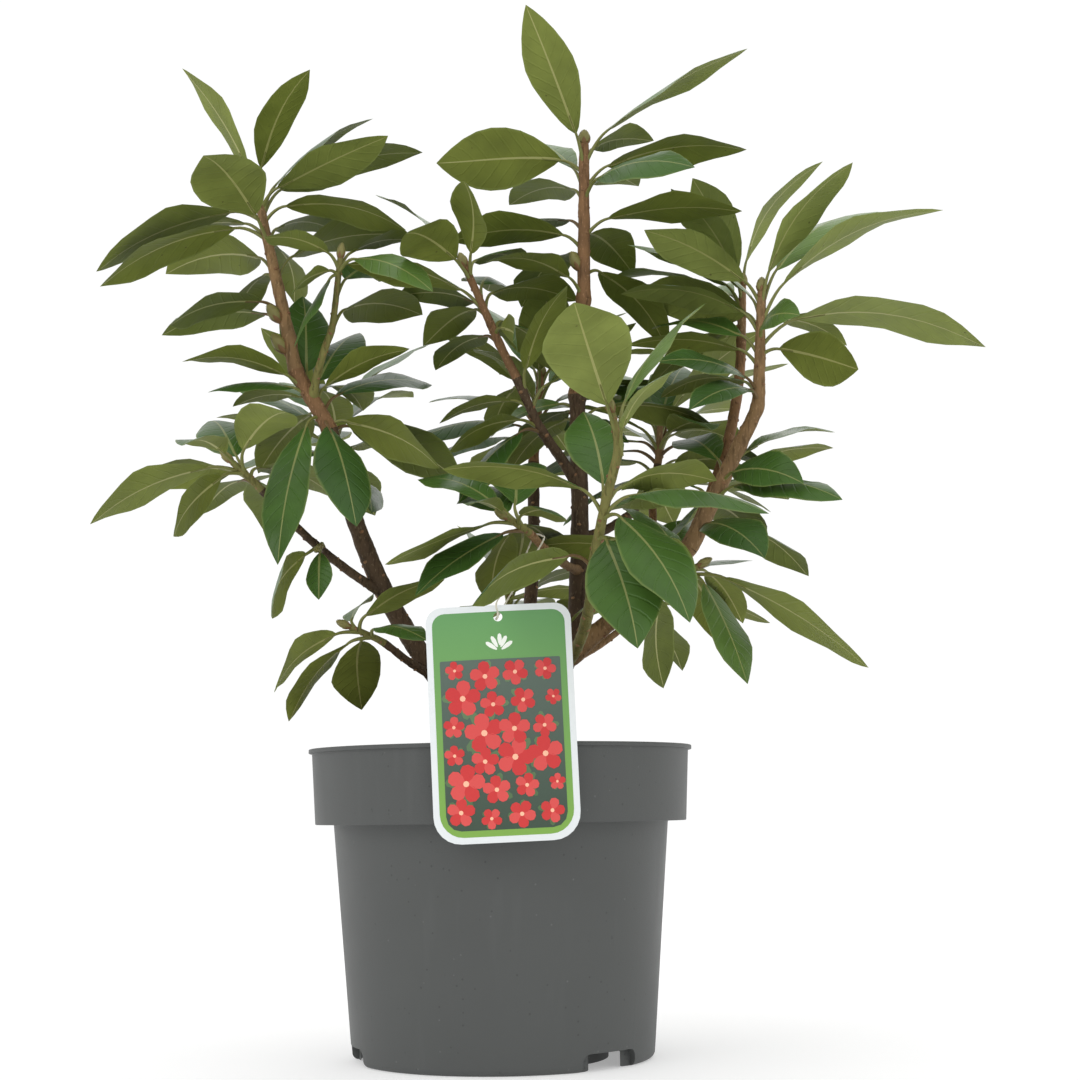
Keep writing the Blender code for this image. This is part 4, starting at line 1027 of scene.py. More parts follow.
def round_corners(bm, radius):
    """Rounds every edge round the pot where its wall turns."""
    edges = [edge for edge in bm.edges if edge.is_manifold and edge.calc_face_angle() > SHARP_TURN]
    bmesh.ops.bevel(
        bm, geom=edges, offset=radius, segments=2, profile=0.5, affect="EDGES", material=-1,
        clamp_overlap=True,
    )


def make_pot(settings):
    corner = [
        (
            BASE_RADIUS - FOOT_CORNER + FOOT_CORNER * math.sin(math.radians(turn)),
            FOOT_CORNER - FOOT_CORNER * math.cos(math.radians(turn)),
        )
        for turn in FOOT_TURNS
    ]
    step = POT_HEIGHT - COLLAR_HEIGHT
    lip = POT_HEIGHT - LIP_HEIGHT
    outside = [
        (0, 0),
        (CHANNEL_RADIUS, 0),
        (CHANNEL_RADIUS, CHANNEL_HEIGHT),
        (BASE_RADIUS - FOOT_WIDTH, CHANNEL_HEIGHT),
        (BASE_RADIUS - FOOT_WIDTH, 0),
        *corner,
        (BODY_RADIUS, step),
        (COLLAR_LOW_RADIUS, step),
        (COLLAR_TOP_RADIUS, lip),
        (LIP_RADIUS, lip),
        (LIP_RADIUS, POT_HEIGHT),
        (COLLAR_TOP_RADIUS - POT_WALL, POT_HEIGHT),
    ]
    bm = turned(outside + wall_line(POT_WALL)[::-1], settings.segments)
    round_corners(bm, settings.rounding)
    cutters = []
    for bearing in NOTCH_BEARINGS:
        notch = bmesh.new()
        around = Matrix.Rotation(math.radians(bearing), 4, "Z")
        size = Matrix.Diagonal((NOTCH_DEPTH, NOTCH_WIDTH, NOTCH_HEIGHT * 2, 1))
        bmesh.ops.create_cube(notch, size=1, matrix=size)
        upper = [edge for edge in notch.edges if all(v.co.z > 0 for v in edge.verts)]
        along = [edge for edge in upper if abs(edge.verts[0].co.y - edge.verts[1].co.y) < GAP]
        bmesh.ops.bevel(
            notch, geom=along, offset=NOTCH_CORNER, segments=6, profile=0.5, affect="EDGES", material=-1
        )
        bmesh.ops.transform(
            notch, matrix=around @ Matrix.Translation((BASE_RADIUS, 0, 0)), verts=notch.verts
        )
        cutters.append(loose("notch_cutter", notch))
    piece("pot_shell", cut(bm, cutters), [plastic_look(settings)], ["pot"], 28)


def make_compost(settings):
    """The compost fills the pot, with an uneven crumbly top that rises a little round the trunk."""
    line = wall_line(POT_WALL + GAP)
    low, top = line[-1][0], COLLAR_TOP_RADIUS - POT_WALL - GAP
    share = (COMPOST_LEVEL - line[-1][1]) / (POT_HEIGHT - LIP_HEIGHT - line[-1][1])
    edge = low + (top - low) * share
    line.append((edge, COMPOST_LEVEL))
    rings = settings.rings
    line += [(edge * (1 - i / rings), COMPOST_LEVEL) for i in range(1, rings + 1)]
    bm = turned(line, settings.segments)
    for vert in bm.verts:
        if vert.co.z > COMPOST_LEVEL - GAP:
            reach = math.hypot(vert.co.x, vert.co.y)
            if reach < edge - GAP:
                vert.co.z += compost_rise(vert.co, reach, settings.relief)
    look = compost_look("compost", (34, 26, 20), (78, 60, 44))
    piece("compost_top", bm, [look], ["compost"], 60)
    make_chips(settings, edge)


def compost_rise(place, reach, relief):
    spot = Vector((place.x, place.y, 0))
    lumps = noise.noise(spot * 60) + 0.6 * noise.noise(spot * 150) + 0.4 * noise.noise(spot * 380)
    mound = 2.5 * math.exp(-((reach / MOUND_REACH) ** 2))
    return relief * (lumps + mound)


def make_chips(settings, edge):
    """Bark chips and crumbs that lie on the compost."""
    chance = random.Random(CHIP_SEED)
    bm = bmesh.new()
    for _ in range(settings.chips):
        reach = (edge - CHIP_MARGIN) * math.sqrt(chance.random())
        turn = chance.uniform(0, math.tau)
        if reach < CLEAR_RING:
            continue
        x, y = reach * math.cos(turn), reach * math.sin(turn)
        size = chance.uniform(*CHIP_SIZES)
        rise = COMPOST_LEVEL + compost_rise(Vector((x, y, 0)), reach, settings.relief) + size * 0.12
        spin = Quaternion((0, 0, 1), chance.uniform(0, math.tau))
        tilt = Quaternion((1, 0, 0), chance.uniform(-0.5, 0.5))
        shape = Matrix.Diagonal((size * 2.2, size * chance.uniform(0.7, 1.3), size * 0.5, 1))
        place = Matrix.Translation((x, y, rise)) @ (spin @ tilt).to_matrix().to_4x4() @ shape
        made = bmesh.ops.create_icosphere(bm, subdivisions=1, radius=0.5)
        for vert in made["verts"]:
            vert.co *= 1 + chance.uniform(-0.25, 0.25)
        bmesh.ops.transform(bm, matrix=place, verts=made["verts"])
        darker = chance.random() < 0.5
        for face in faces_of(made["verts"]):
            face.material_index = int(darker)
    looks = [
        compost_look("chip_brown", (74, 50, 34), (128, 92, 62)),
        compost_look("chip_dark", (40, 29, 22), (84, 60, 42)),
    ]
    piece("compost_chips", bm, looks, ["compost"], 20)


@dataclass
class Station:
    """One place along a limb's smoothed line."""

    place: Vector
    radius: float
    owner: str


def chain_names():
    """The limbs in runs that carry each other on end to end, each run from its first to its last."""
    follower = {part.after: part.name for part in (*LIMBS, *SHOOTS) if part.at == 1.0}
    firsts = ["trunk"] + [limb.name for limb in LIMBS if limb.at < 1]
    runs = []
    for first in firsts:
        run = [first]
        while run[-1] in follower:
            run.append(follower[run[-1]])
        runs.append(run)
    return runs


def run_line(run, axes, settings, parent_radius):
    """Stations along a run of limbs, with its kinks smoothed, its nodes swollen and its foot flared."""
    line = []
    for name in run:
        axis = axes[name]
        count = max(3, round(axis.length / settings.spacing))
        first = 0 if name == run[0] else 1
        for i in range(first, count + 1):
            t = i / count
            line.append(Station(axis.point(t), axis.radius(t), name))
    for _ in range(SMOOTHINGS):
        places = [station.place for station in line]
        radii = [station.radius for station in line]
        for i in range(1, len(line) - 1):
            line[i].place = (places[i - 1] + 2 * places[i] + places[i + 1]) / 4
            line[i].radius = (radii[i - 1] + 2 * radii[i] + radii[i + 1]) / 4
    walked = 0.0
    joints = [axes[name].end for name in run[:-1]]
    for i, station in enumerate(line):
        if i:
            walked += (station.place - line[i - 1].place).length
        past = max(0.0, walked - parent_radius)
        if parent_radius:
            station.radius *= 1 + COLLAR_SWELL * math.exp(-past / (parent_radius * COLLAR_REACH))
        for joint in joints:
            away = (station.place - joint).length
            station.radius += NODE_SWELL * axes[run[0]].radii[0] * math.exp(-((away / NODE_REACH) ** 2))
        lumps = noise.noise(station.place * 70) + 0.5 * noise.noise(station.place * 210)
        station.radius *= 1 + settings.lumps * lumps
    if run[0] == "trunk":
        for station in line:
            height = (station.place.z - COMPOST_LEVEL) / FLARE_HEIGHT
            station.radius += ROOT_FLARE * max(0.0, 1 - height) ** 3
        line[0].place.z -= TRUNK_SINK
    return line


def ring_matrices(line):
    """Where each station's ring lies: its middle, its plane square to the line, and its radius."""
    side = FIRST_SIDE
    found = []
    for i, station in enumerate(line):
        behind, ahead = line[max(i - 1, 0)].place, line[min(i + 1, len(line) - 1)].place
        along = (ahead - behind).normalized()
        side = square_to(along, side)
        turn = turn_to(side, along.cross(side), along)
        found.append(Matrix.Translation(station.place) @ turn @ Matrix.Scale(station.radius, 4))
    return found


def tube(line, sides, material_of):
    """A closed tube along the stations, made by pulling one ring out along them."""
    matrices = ring_matrices(line)
    bm = bmesh.new()
    bmesh.ops.create_circle(bm, cap_ends=True, segments=sides, radius=1, matrix=matrices[0])
    edges = bm.edges[:]
    for station, before, after in zip(line[1:], matrices, matrices[1:]):
        made = bmesh.ops.extrude_edge_only(bm, edges=edges)
        ring = new_verts(made)
        fresh = set(ring)
        edges = []
        for one in made["geom"]:
            if isinstance(one, bmesh.types.BMEdge) and set(one.verts) <= fresh:
                edges.append(one)
            elif isinstance(one, bmesh.types.BMFace):
                one.material_index = material_of(station.owner)
        bmesh.ops.transform(bm, matrix=after @ before.inverted(), verts=ring)
    bmesh.ops.contextual_create(bm, geom=edges)
    bmesh.ops.recalc_face_normals(bm, faces=bm.faces[:])
    return bm


def roughen(bm, depth):
    """Pushes the bark in and out along its normals: long ridges, and small warts."""
    bm.normal_update()
    for vert in bm.verts:
        if vert.normal.length < 0.5:
            continue
        ridges = noise.noise(Vector((vert.co.x * 420, vert.co.y * 420, vert.co.z * 90)))
        warts = max(0.0, noise.noise(vert.co * 330) - 0.15)
        vert.co += vert.normal * depth * (ridges + 1.6 * warts)


def gather(parts):
    """All the parts' meshes in one."""
    whole = bmesh.new()
    for part in parts:
        mesh = mesh_of("part", part)
        whole.from_mesh(mesh)
        bpy.data.meshes.remove(mesh)
    return whole


def bark_of(name):
    """The number of the bark that a limb wears, in the order of BARKS."""
    return next((number for number, limbs in enumerate(BARKS) if name in limbs.split()), 0)


def make_limbs(settings, axes):
    """The trunk and boughs in one mesh, and the stems that carry the leaves in another."""
    boughs, stems = [], []
    limbs = {limb.name: limb for limb in LIMBS}
    for run in chain_names():
        limb = limbs.get(run[0])
        parent_radius = axes[limb.after].radius(limb.at) if limb else 0.0
        line = run_line(run, axes, settings, parent_radius)
        first = 0
        for last in range(1, len(line) + 1):
            leafy = line[first].owner in SHOOT_NAMES
            if last < len(line) and (line[last].owner in SHOOT_NAMES) == leafy:
                continue
            stretch = line[max(first - 1, 0):last]
            thick = stretch[0].radius
            sides = next(count for least, count in TUBE_SIDES if thick > least)
            made = tube(stretch, sides, bark_of)
            roughen(made, settings.relief * min(1.0, thick / FULL_BARK))
            (stems if leafy else boughs).append(made)
            first = last
    boughs.append(make_scars(axes, [name for name in axes if name not in SHOOT_NAMES], BOUGH_SCAR_SEED))
    stems.append(make_scars(axes, sorted(SHOOT_NAMES), STEM_SCAR_SEED))
    looks = [bark_look(name, *colours) for name, colours in bark_colours(settings)]
    looks.append(bark_look("leaf_scar", shade(150, 118, 84), shade(120, 84, 58), shade(84, 60, 44)))
    piece("trunk_and_boughs", gather(boughs), looks, ["trunk", *limbs], 55)
    piece("leafy_stems", gather(stems), looks, sorted(SHOOT_NAMES), 55)


def bark_colours(settings):
    """Each bark's name, and its darker, lighter and fleck colours."""
    old, red, tan, green = settings.old[:], settings.red[:], settings.tan[:], settings.green[:]
    return (
        ("bark_old", (tinted(old, 0.75), tinted(old, 1.25), shade(128, 112, 88))),
        ("bark_red", (tinted(red, 0.80), tinted(red, 1.20), shade(186, 144, 108))),
        ("bark_tan", (tinted(tan, 0.80), tinted(tan, 1.20), shade(190, 158, 118))),
        ("bark_green", (tinted(green, 0.82), tinted(green, 1.18), shade(160, 120, 80))),
    )


def make_scars(axes, names, seed):
    """The marks that fallen leaves leave: low pads in a spiral along each limb."""
    chance = random.Random(seed)
    bm = bmesh.new()
    for name in names:
        axis = axes[name]
        count = int(axis.length / SCAR_SPACING)
        for i in range(count):
            t = (i + 0.5) / count
            along = axis.direction(t)
            side = along.orthogonal().normalized()
            out = Quaternion(along, math.tau * (i * GOLDEN_SHARE + chance.uniform(-0.03, 0.03))) @ side
            across = along.cross(out)
            size = min(SCAR_SIZE, axis.radius(t) * 0.55) * chance.uniform(0.8, 1.15)
            turn = turn_to(across, along, out)
            place = axis.point(t) + out * axis.radius(t) * 0.97
            shape = Matrix.Diagonal((size, size * 0.72, size * 0.42, 1))
            made = bmesh.ops.create_icosphere(
                bm, subdivisions=1, radius=1, matrix=Matrix.Translation(place) @ turn @ shape
            )
            for face in faces_of(made["verts"]):
                face.material_index = len(BARKS)
    return bm


def blade(rows):
    """A leaf's flat pattern: two sheets that share their margins.

    x runs across it from -1 to 1, y from its foot at 0 to its tip at 1, and z is 1 on the upper
    sheet, -1 on the under one, and 0 where they meet.
    """
    bm = bmesh.new()
    bm.loops.layers.uv.new("UVMap")
    strips = len(BLADE_ACROSS) - 1
    for side in (1, -1):
        made = bmesh.ops.create_grid(
            bm, x_segments=strips, y_segments=rows, size=1, matrix=Matrix.Translation((0, 0, side))
        )
        faces = faces_of(made["verts"])
        for vert in made["verts"]:
            column = round((vert.co.x + 1) * strips / 2)
            even = (vert.co.y + 1) / 2
            row = even + END_ROWS * ((1 - math.cos(math.pi * even)) / 2 - even)
            edge = column in (0, strips)
            vert.co = (BLADE_ACROSS[column], row, 0 if edge else side)
        if side < 0:
            bmesh.ops.reverse_faces(bm, faces=faces)
        for face in faces:
            rib = abs(face.calc_center_median().x) < BLADE_ACROSS[-2] / 2
            face.material_index = (2 if rib else 0) + (side < 0)
            face.smooth = True
    bmesh.ops.remove_doubles(bm, verts=bm.verts[:], dist=PATTERN_MERGE)
    uv_map = bm.loops.layers.uv.active
    for face in bm.faces:
        for loop in face.loops:
            loop[uv_map].uv = ((loop.vert.co.x + 1) / 2, loop.vert.co.y)
    return mesh_of("blade", bm)


def outline(y):
    """The share of a leaf's half width at a share of its blade's length: widest past the middle."""
    if not 0 < y < 1:
        return 0.0
    foot, tip = BLADE_FULLNESS
    return BLADE_FILL * math.sin(math.pi * y**BLADE_LEAN) ** (foot + (tip - foot) * y)


@dataclass
class Growth:
    """A leaf with what sets it off from others: age, waves, twist, droop, fold and sideways bow."""

    leaf: Leaf
    stem: Axis
    age: int
    wave: float
    twist: float
    droop: float
    fold: float
    sway: float


def on_blade(growth, x, y, z, settings):
    """Where a point of the flat pattern comes to lie on the grown leaf."""
    leaf = growth.leaf
    forward, across, up = heading(leaf)
    turn = Quaternion(forward, growth.twist * (y - 0.4))
    across, up = turn @ across, turn @ up
    share = STALK_SHARE + (1 - STALK_SHARE) * y
    lift = rise_of_arch(leaf) * 4 * share * (1 - share) - growth.droop * leaf.length * y**3
    aside = growth.sway * leaf.length * 4 * share * (1 - share)
    centre = root_of(leaf, growth.stem) + forward * leaf.length * share + up * lift + across * aside
    half = leaf.breadth * leaf.length / 2 * outline(y)
    rib = min(half, settings.rib * (1 - 0.75 * y))
    on_rib = abs(x) < 2 * BLADE_ACROSS[3]
    wide = math.copysign(rib, x) if on_rib else x * half
    bow = min(1.0, abs(wide) / max(half, MERGE))
    fall = LEAF_CROWN * growth.fold * half * bow**1.4
    wave = math.sin(math.tau * RIPPLES * y + growth.wave + (x > 0) * 1.9)
    ripple = settings.ripple * half * bow**2 * wave
    thick = settings.thickness / 2
    if on_rib:
        body = -thick * (RIB_DEPTH if z < 0 else RIB_GROOVE)
    else:
        body = thick * z
    return centre + across * wide + up * (ripple - fall + body * min(1.0, half / FULL_BLADE))


def age_of(shoot, leaf, stem, chance):
    """0 is a dark old leaf, 1 a mature one, 2 a paler one, and 3 a young light green one."""
    if shoot.name in YOUNG_SHOOTS and leaf.back < YOUNG_BACK:
        return 3 if chance.random() < YOUNG_SHARE else 2
    share = leaf.back / max(stem.length, 0.02) + chance.uniform(-AGE_JITTER, AGE_JITTER)
    return 2 if share < PALE_SHARE else 1 if share < MATURE_SHARE else 0


def grow_foliage(settings, axes):
    """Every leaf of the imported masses, as a list."""
    solids = [packed_tree(name) for name in ("pot", "compost", "tag", "tag_loop")]
    leaves = grow_leaves(axes, solids)
    chance = random.Random(LEAF_SEED)
    found = []
    for shoot in SHOOTS:
        stem = axes[shoot.name]
        for leaf in leaves[shoot.name]:
            age = age_of(shoot, leaf, stem, chance)
            twist = math.radians(chance.uniform(-TWIST, TWIST))
            wave = chance.uniform(0, math.tau)
            droop = chance.uniform(0, DROOP)
            fold = chance.uniform(*FOLDS)
            sway = chance.uniform(-SWAY, SWAY)
            found.append(Growth(leaf, stem, age, wave, twist, droop, fold, sway))
        print(f"{shoot.name}: {len(leaves[shoot.name])} leaves")
    return found


def make_leaves(settings, foliage):
    pattern = blade(settings.rows)
    bm = bmesh.new()
    bm.loops.layers.uv.new("UVMap")
    for growth in foliage:
        first_vert, first_face = len(bm.verts), len(bm.faces)
        bm.from_mesh(pattern)
        bm.verts.ensure_lookup_table()
        bm.faces.ensure_lookup_table()
        for vert in bm.verts[first_vert:]:
            vert.co = on_blade(growth, *vert.co, settings)
        for face in bm.faces[first_face:]:
            face.material_index += 4 * growth.age
    bmesh.ops.remove_doubles(bm, verts=bm.verts[:], dist=MERGE)
    looks = []
    for age, (upper, under) in enumerate(leaf_colours(settings)):
        looks.append(leaf_look(f"leaf_upper_{age}", upper, under=False))
        looks.append(leaf_look(f"leaf_under_{age}", under, under=True))
        looks.append(plain_look(f"rib_upper_{age}", mingled(upper, settings.rib_colour, 0.45), 0.4))
        looks.append(plain_look(f"rib_under_{age}", mingled(under, settings.rib_colour, 0.75), 0.5))
    bpy.data.meshes.remove(pattern)
    piece("leaves", bm, looks, SHOOT_NAMES, 75)


def mingled(first, second, share):
    return tuple(a + (b - a) * share for a, b in zip(first[:3], second[:3]))


def leaf_colours(settings):
    """The upper and under colours of each age, from old to young."""
    upper, under = settings.upper[:], settings.under[:]
    upper_young, under_young = settings.upper_young[:], settings.under_young[:]
    return (
        (settings.upper_old[:], settings.under_old[:]),
        (upper, under),
        (mingled(upper, upper_young, 0.5), mingled(under, under_young, 0.5)),
        (upper_young, under_young),
    )


def make_stalks(settings, foliage):
    """The leaf stalks, which rise from the stem, bend over and run out under the blade."""
    parts = []
    for growth in foliage:
        leaf, stem = growth.leaf, growth.stem
        forward, across, up = heading(leaf)
        root = root_of(leaf, stem)
        along = (stem.end - stem.start).normalized()
        line = []
        for share in STALK_STATIONS:
            y = (share - STALK_SHARE) / (1 - STALK_SHARE)
            sag = rise_of_arch(leaf) * 4 * share * (1 - share)
            tuck = settings.stalk * 0.9 * min(1.0, max(0.0, y) * 6)
            below = along * STALK_DROP * leaf.length * max(0.0, 1 - share / STALK_SHARE) ** 2
            aside = across * growth.sway * leaf.length * 4 * share * (1 - share)
            radius = settings.stalk * (STALK_FOOT - STALK_TAPER * share / STALK_STATIONS[-1])
            spot = root + forward * leaf.length * share + up * (sag - tuck) - below + aside
            line.append(Station(spot, radius, ""))
        young = growth.age > 0
        parts.append(tube(line, STALK_SIDES, lambda _owner, young=young: int(young)))
    looks = [
        plain_look("stalk_red", shade(108, 86, 54), 0.5, 0.18, 300),
        plain_look("stalk_green", shade(118, 120, 62), 0.5, 0.14, 300),
    ]
    piece("leaf_stalks", gather(parts), looks, SHOOT_NAMES, 60)


def bud_swell(share):
    """How full a bud is, by its widest place, at a share of its length."""
    return math.sin(math.pi * min(1.0, share + 0.08)) ** 0.75


def make_bud(bm, foot, along, length, width, chance):
    """A pointed bud: a turned core, with three rounds of scales that lap over each other."""
    side = along.orthogonal().normalized()
    place = Matrix.Translation(foot) @ turn_to(side, along.cross(side), along)
    core = bmesh.ops.create_uvsphere(bm, u_segments=8, v_segments=6, radius=1)["verts"]
    for vert in core:
        rise = (vert.co.z + 1) / 2
        swell = bud_swell(rise * 0.92)
        reach = math.hypot(vert.co.x, vert.co.y)
        if reach > MERGE:
            vert.co.x *= swell * width / reach
            vert.co.y *= swell * width / reach
        vert.co.z = rise * length
    bmesh.ops.transform(bm, matrix=place, verts=core)
    for tier in range(SCALE_ROUNDS):
        for k in range(ROUND_SCALES):
            bearing = math.tau * (k + tier * 0.5) / ROUND_SCALES + chance.uniform(-0.1, 0.1)
            made = bmesh.ops.create_grid(bm, x_segments=2, y_segments=3, size=1)["verts"]
            low, high = length * tier * 0.22, length * (0.45 + tier * 0.25)
            for vert in made:
                across, up = vert.co.x, (vert.co.y + 1) / 2
                rise = low + (high - low) * up
                lap = width * (1.10 - 0.05 * tier)
                swell = bud_swell(rise / length * 0.90)
                angle = bearing + across * 0.62 * (1 - up**2)
                reach = lap * max(swell, 0.16) + 0.00025 * (1 - abs(across))
                vert.co = (math.cos(angle) * reach, math.sin(angle) * reach, rise)
            for face in faces_of(made):
                face.material_index = int(tier == 0)
            bmesh.ops.transform(bm, matrix=place, verts=made)


def make_buds(settings, axes):
    """A bud at the end of each shoot, and the few that sit beside the main stems."""
    chance = random.Random(BUD_SEED)
    bm = bmesh.new()
    for shoot in SHOOTS:
        if shoot.bud:
            axis = axes[shoot.name]
            along = axis.direction(1)
            width = axis.radii[1] * BUD_SWELL * 0.82
            make_bud(bm, axis.end - along * BUD_ROOT, along, BUD_LENGTH + BUD_ROOT, width, chance)
    for name, at, bearing, lean, length in SIDE_BUDS:
        axis = axes[name]
        along = axis.direction(at)
        out = Vector((math.cos(math.radians(bearing)), math.sin(math.radians(bearing)), 0))
        out = square_to(along, out)
        aim = (out * math.sin(math.radians(lean)) + along * math.cos(math.radians(lean))).normalized()
        foot = axis.point(at) + out * axis.radius(at) * 0.8
        make_bud(bm, foot, aim, length, length * SIDE_BUD_WIDTH, chance)
    bmesh.ops.remove_doubles(bm, verts=bm.verts[:], dist=MERGE)
    looks = [
        plain_look("bud_green", shade(128, 122, 70), 0.5, 0.14, 240),
        plain_look("bud_brown", shade(126, 94, 60), 0.6, 0.15, 240),
    ]
    piece("buds", bm, looks, [shoot.name for shoot in SHOOTS if shoot.bud], 60)


def on_tag(across, up, forward=0.0):
    """A point on the tag's back, by its own width and height, with the bend and the lean."""
    lean = math.radians(TAG_LEAN)
    bend = TAG_BEND * (2 * across / TAG_WIDTH) ** 2
    x = across * math.cos(lean) - up * math.sin(lean)
    z = across * math.sin(lean) + up * math.cos(lean)
    seat = -math.sqrt(LIP_RADIUS**2 - TAG_CENTRE[0] ** 2) - TAG_BEND - GAP
    return Vector((TAG_CENTRE[0] + x, seat + bend - forward, TAG_CENTRE[1] + z))


def tag_hole():
    return on_tag(0, TAG_HEIGHT / 2 - TAG_HOLE_DROP, TAG_THICKNESS / 2)


def rounded(low, high, radii, steps=7):
    """A rectangle's outline with round corners, from its low and high corners, top radius first."""
    top, foot = radii
    points = []
    for x, y, radius, first in (
        (high[0], high[1], top, 0),
        (low[0], high[1], top, 90),
        (low[0], low[1], foot, 180),
        (high[0], low[1], foot, 270),
    ):
        middle_x = x - math.copysign(radius, x - low[0] - 1e-9)
        middle_y = y - math.copysign(radius, y - low[1] - 1e-9)
        for k in range(steps):
            angle = math.radians(first + 90 * k / (steps - 1))
            points.append((middle_x + radius * math.cos(angle), middle_y + radius * math.sin(angle)))
    return points


def layer(points, back, front, index=0, cuts=0):
    """A flat shape of the card, as thick as from `back` to `front`, bent with the card."""
    bm = bmesh.new()
    bm.faces.new([bm.verts.new((across, up, 0)) for across, up in points])
    for i in range(1, cuts):
        place = (TAG_WIDTH * (i / cuts - 0.5), 0, 0)
        whole = bm.verts[:] + bm.edges[:] + bm.faces[:]
        bmesh.ops.bisect_plane(bm, geom=whole, plane_co=place, plane_no=(1, 0, 0))
    sheet = bmesh.ops.extrude_face_region(bm, geom=bm.faces[:])
    for vert in bm.verts:
        vert.co.z = back
    for vert in new_verts(sheet):
        vert.co.z = front
    for vert in bm.verts:
        vert.co = on_tag(*vert.co)
    for face in bm.faces:
        face.material_index = index
    bmesh.ops.recalc_face_normals(bm, faces=bm.faces[:])
    return bm


def hole_cutter():
    hole = bmesh.new()
    bmesh.ops.create_cone(
        hole,
        cap_ends=True,
        segments=24,
        radius1=TAG_HOLE_RADIUS,
        radius2=TAG_HOLE_RADIUS,
        depth=0.01,
        matrix=Matrix.Translation(tag_hole()) @ Matrix.Rotation(math.pi / 2, 4, "X"),
    )
    return loose("hole_cutter", hole)


def petal(centre, bearing, length, width):
    """A petal's outline: narrow at the flower's heart, and round at its end."""
    points = []
    for k in range(PETAL_POINTS):
        angle = math.tau * k / PETAL_POINTS
        reach = length * (0.55 + 0.45 * math.cos(angle))
        wide = width / 2 * math.sin(angle) * (0.55 + 0.45 * reach / length)
        c, s = math.cos(bearing), math.sin(bearing)
        points.append((centre[0] + reach * c - wide * s, centre[1] + reach * s + wide * c))
    return points


def make_blooms(low, high):
    """The printed picture: simple five-petalled flowers in wavy rows, with pairs of leaves."""
    chance = random.Random(BLOOM_SEED)
    parts = []
    across, tall = high[0] - low[0], high[1] - low[1]
    for row in range(BLOOM_ROWS):
        for column in range(BLOOM_COLUMNS):
            x = low[0] + across * (column + 0.5 + 0.22 * math.sin(row * 1.9)) / BLOOM_COLUMNS
            y = low[1] + tall * (row + 0.5) / BLOOM_ROWS + 0.0022 * math.cos(column * 2.4)
            size = BLOOM_SIZE * (1 + 0.25 * math.sin(row * 2.2 + column * 1.4))
            room = min(x - low[0], high[0] - x, y - low[1], high[1] - y)
            size = min(size, room * 0.96)
            start = chance.uniform(0, math.tau)
            level = TAG_THICKNESS + BLOOM_RISE + 0.00002 * ((row + column) % 2)
            for side in (-1, 1):
                bearing = start + side * 0.9
                leafy = petal((x, y), bearing, min(size * 1.22, room), size * 0.6)
                parts.append(layer(leafy, TAG_THICKNESS, level, 3))
            for k in range(PETALS):
                shape = petal((x, y), start + math.tau * k / PETALS, size, size * 0.95)
                front = level + PETAL_RISE + 0.00001 * k
                parts.append(layer(shape, TAG_THICKNESS, front, 4 + (k + row) % 2))
            heart = [
                (x + size * 0.16 * math.cos(a), y + size * 0.16 * math.sin(a))
                for a in (math.tau * k / 8 for k in range(8))
            ]
            parts.append(layer(heart, TAG_THICKNESS, level + HEART_RISE, 6))
    return parts


def make_tag(settings):
    half, top = TAG_WIDTH / 2, TAG_HEIGHT / 2
    border = settings.border
    edge = rounded((-half, -top), (half, top), (TAG_TOP_CORNER, TAG_FOOT_CORNER))
    card = layer(edge, 0, TAG_THICKNESS, 0, BEND_CUTS)
    low, high = (-half + border, -top + border), (half - border, top - border)
    corners = (TAG_TOP_CORNER - border * 0.6, TAG_FOOT_CORNER - border * 0.6)
    green = rounded(low, high, corners)
    panel = layer(green, TAG_THICKNESS - PANEL_SINK, TAG_THICKNESS + PANEL_RISE, 1, BEND_CUTS)
    field_low = (low[0] + PICTURE_MARGIN, low[1] + PICTURE_MARGIN)
    field_high = (high[0] - PICTURE_MARGIN, low[1] + PICTURE_HEIGHT)
    field = rounded(field_low, field_high, (0.0008, TAG_FOOT_CORNER - border - PICTURE_MARGIN), 4)
    picture = layer(field, TAG_THICKNESS, TAG_THICKNESS + PICTURE_RISE, 2, BEND_CUTS)
    parts = [cut(card, [hole_cutter()]), cut(panel, [hole_cutter()]), picture]
    parts += make_blooms(field_low, field_high)
    for side in (-1, 1):
        for k, bearing in enumerate(EMBLEM_BEARINGS):
            turned_to = math.radians(90 - side * (90 - bearing))
            spot = (side * 0.0004, high[1] - EMBLEM_DROP + 0.0010 * k)
            shape = petal(spot, turned_to, 0.0085 - 0.0005 * k, 0.0030)
            if side > 0 or bearing < 90:
                front = TAG_THICKNESS + EMBLEM_RISE + 0.00002 * k
                parts.append(layer(shape, TAG_THICKNESS, front, 7))
    foot, head = on_tag(0, -top).z, on_tag(0, top).z
    looks = [
        plain_look("card_white", settings.card[:], 0.35, 0.02, 200, 0.00005, 0.5),
        print_look("print_green", settings.panel_low[:], settings.panel_high[:], foot, head),
    ]
    for name, low_ink, high_ink in INKS:
        looks.append(print_look(f"print_{name}", shade(*low_ink), shade(*high_ink), foot, head))
    piece("tag_card", gather(parts), looks, ["tag"], 30)


def closed_curve(route, place):
    """A smooth closed line through the route's points; `place` counts points along it."""
    i, t = int(place), place - int(place)
    a, b, c, d = (route[(i + k) % len(route)] for k in (-1, 0, 1, 2))
    square, cube = 2 * a - 5 * b + 4 * c - d, 3 * b - a - 3 * c + d
    return 0.5 * (2 * b + (c - a) * t + square * t * t + cube * t**3)


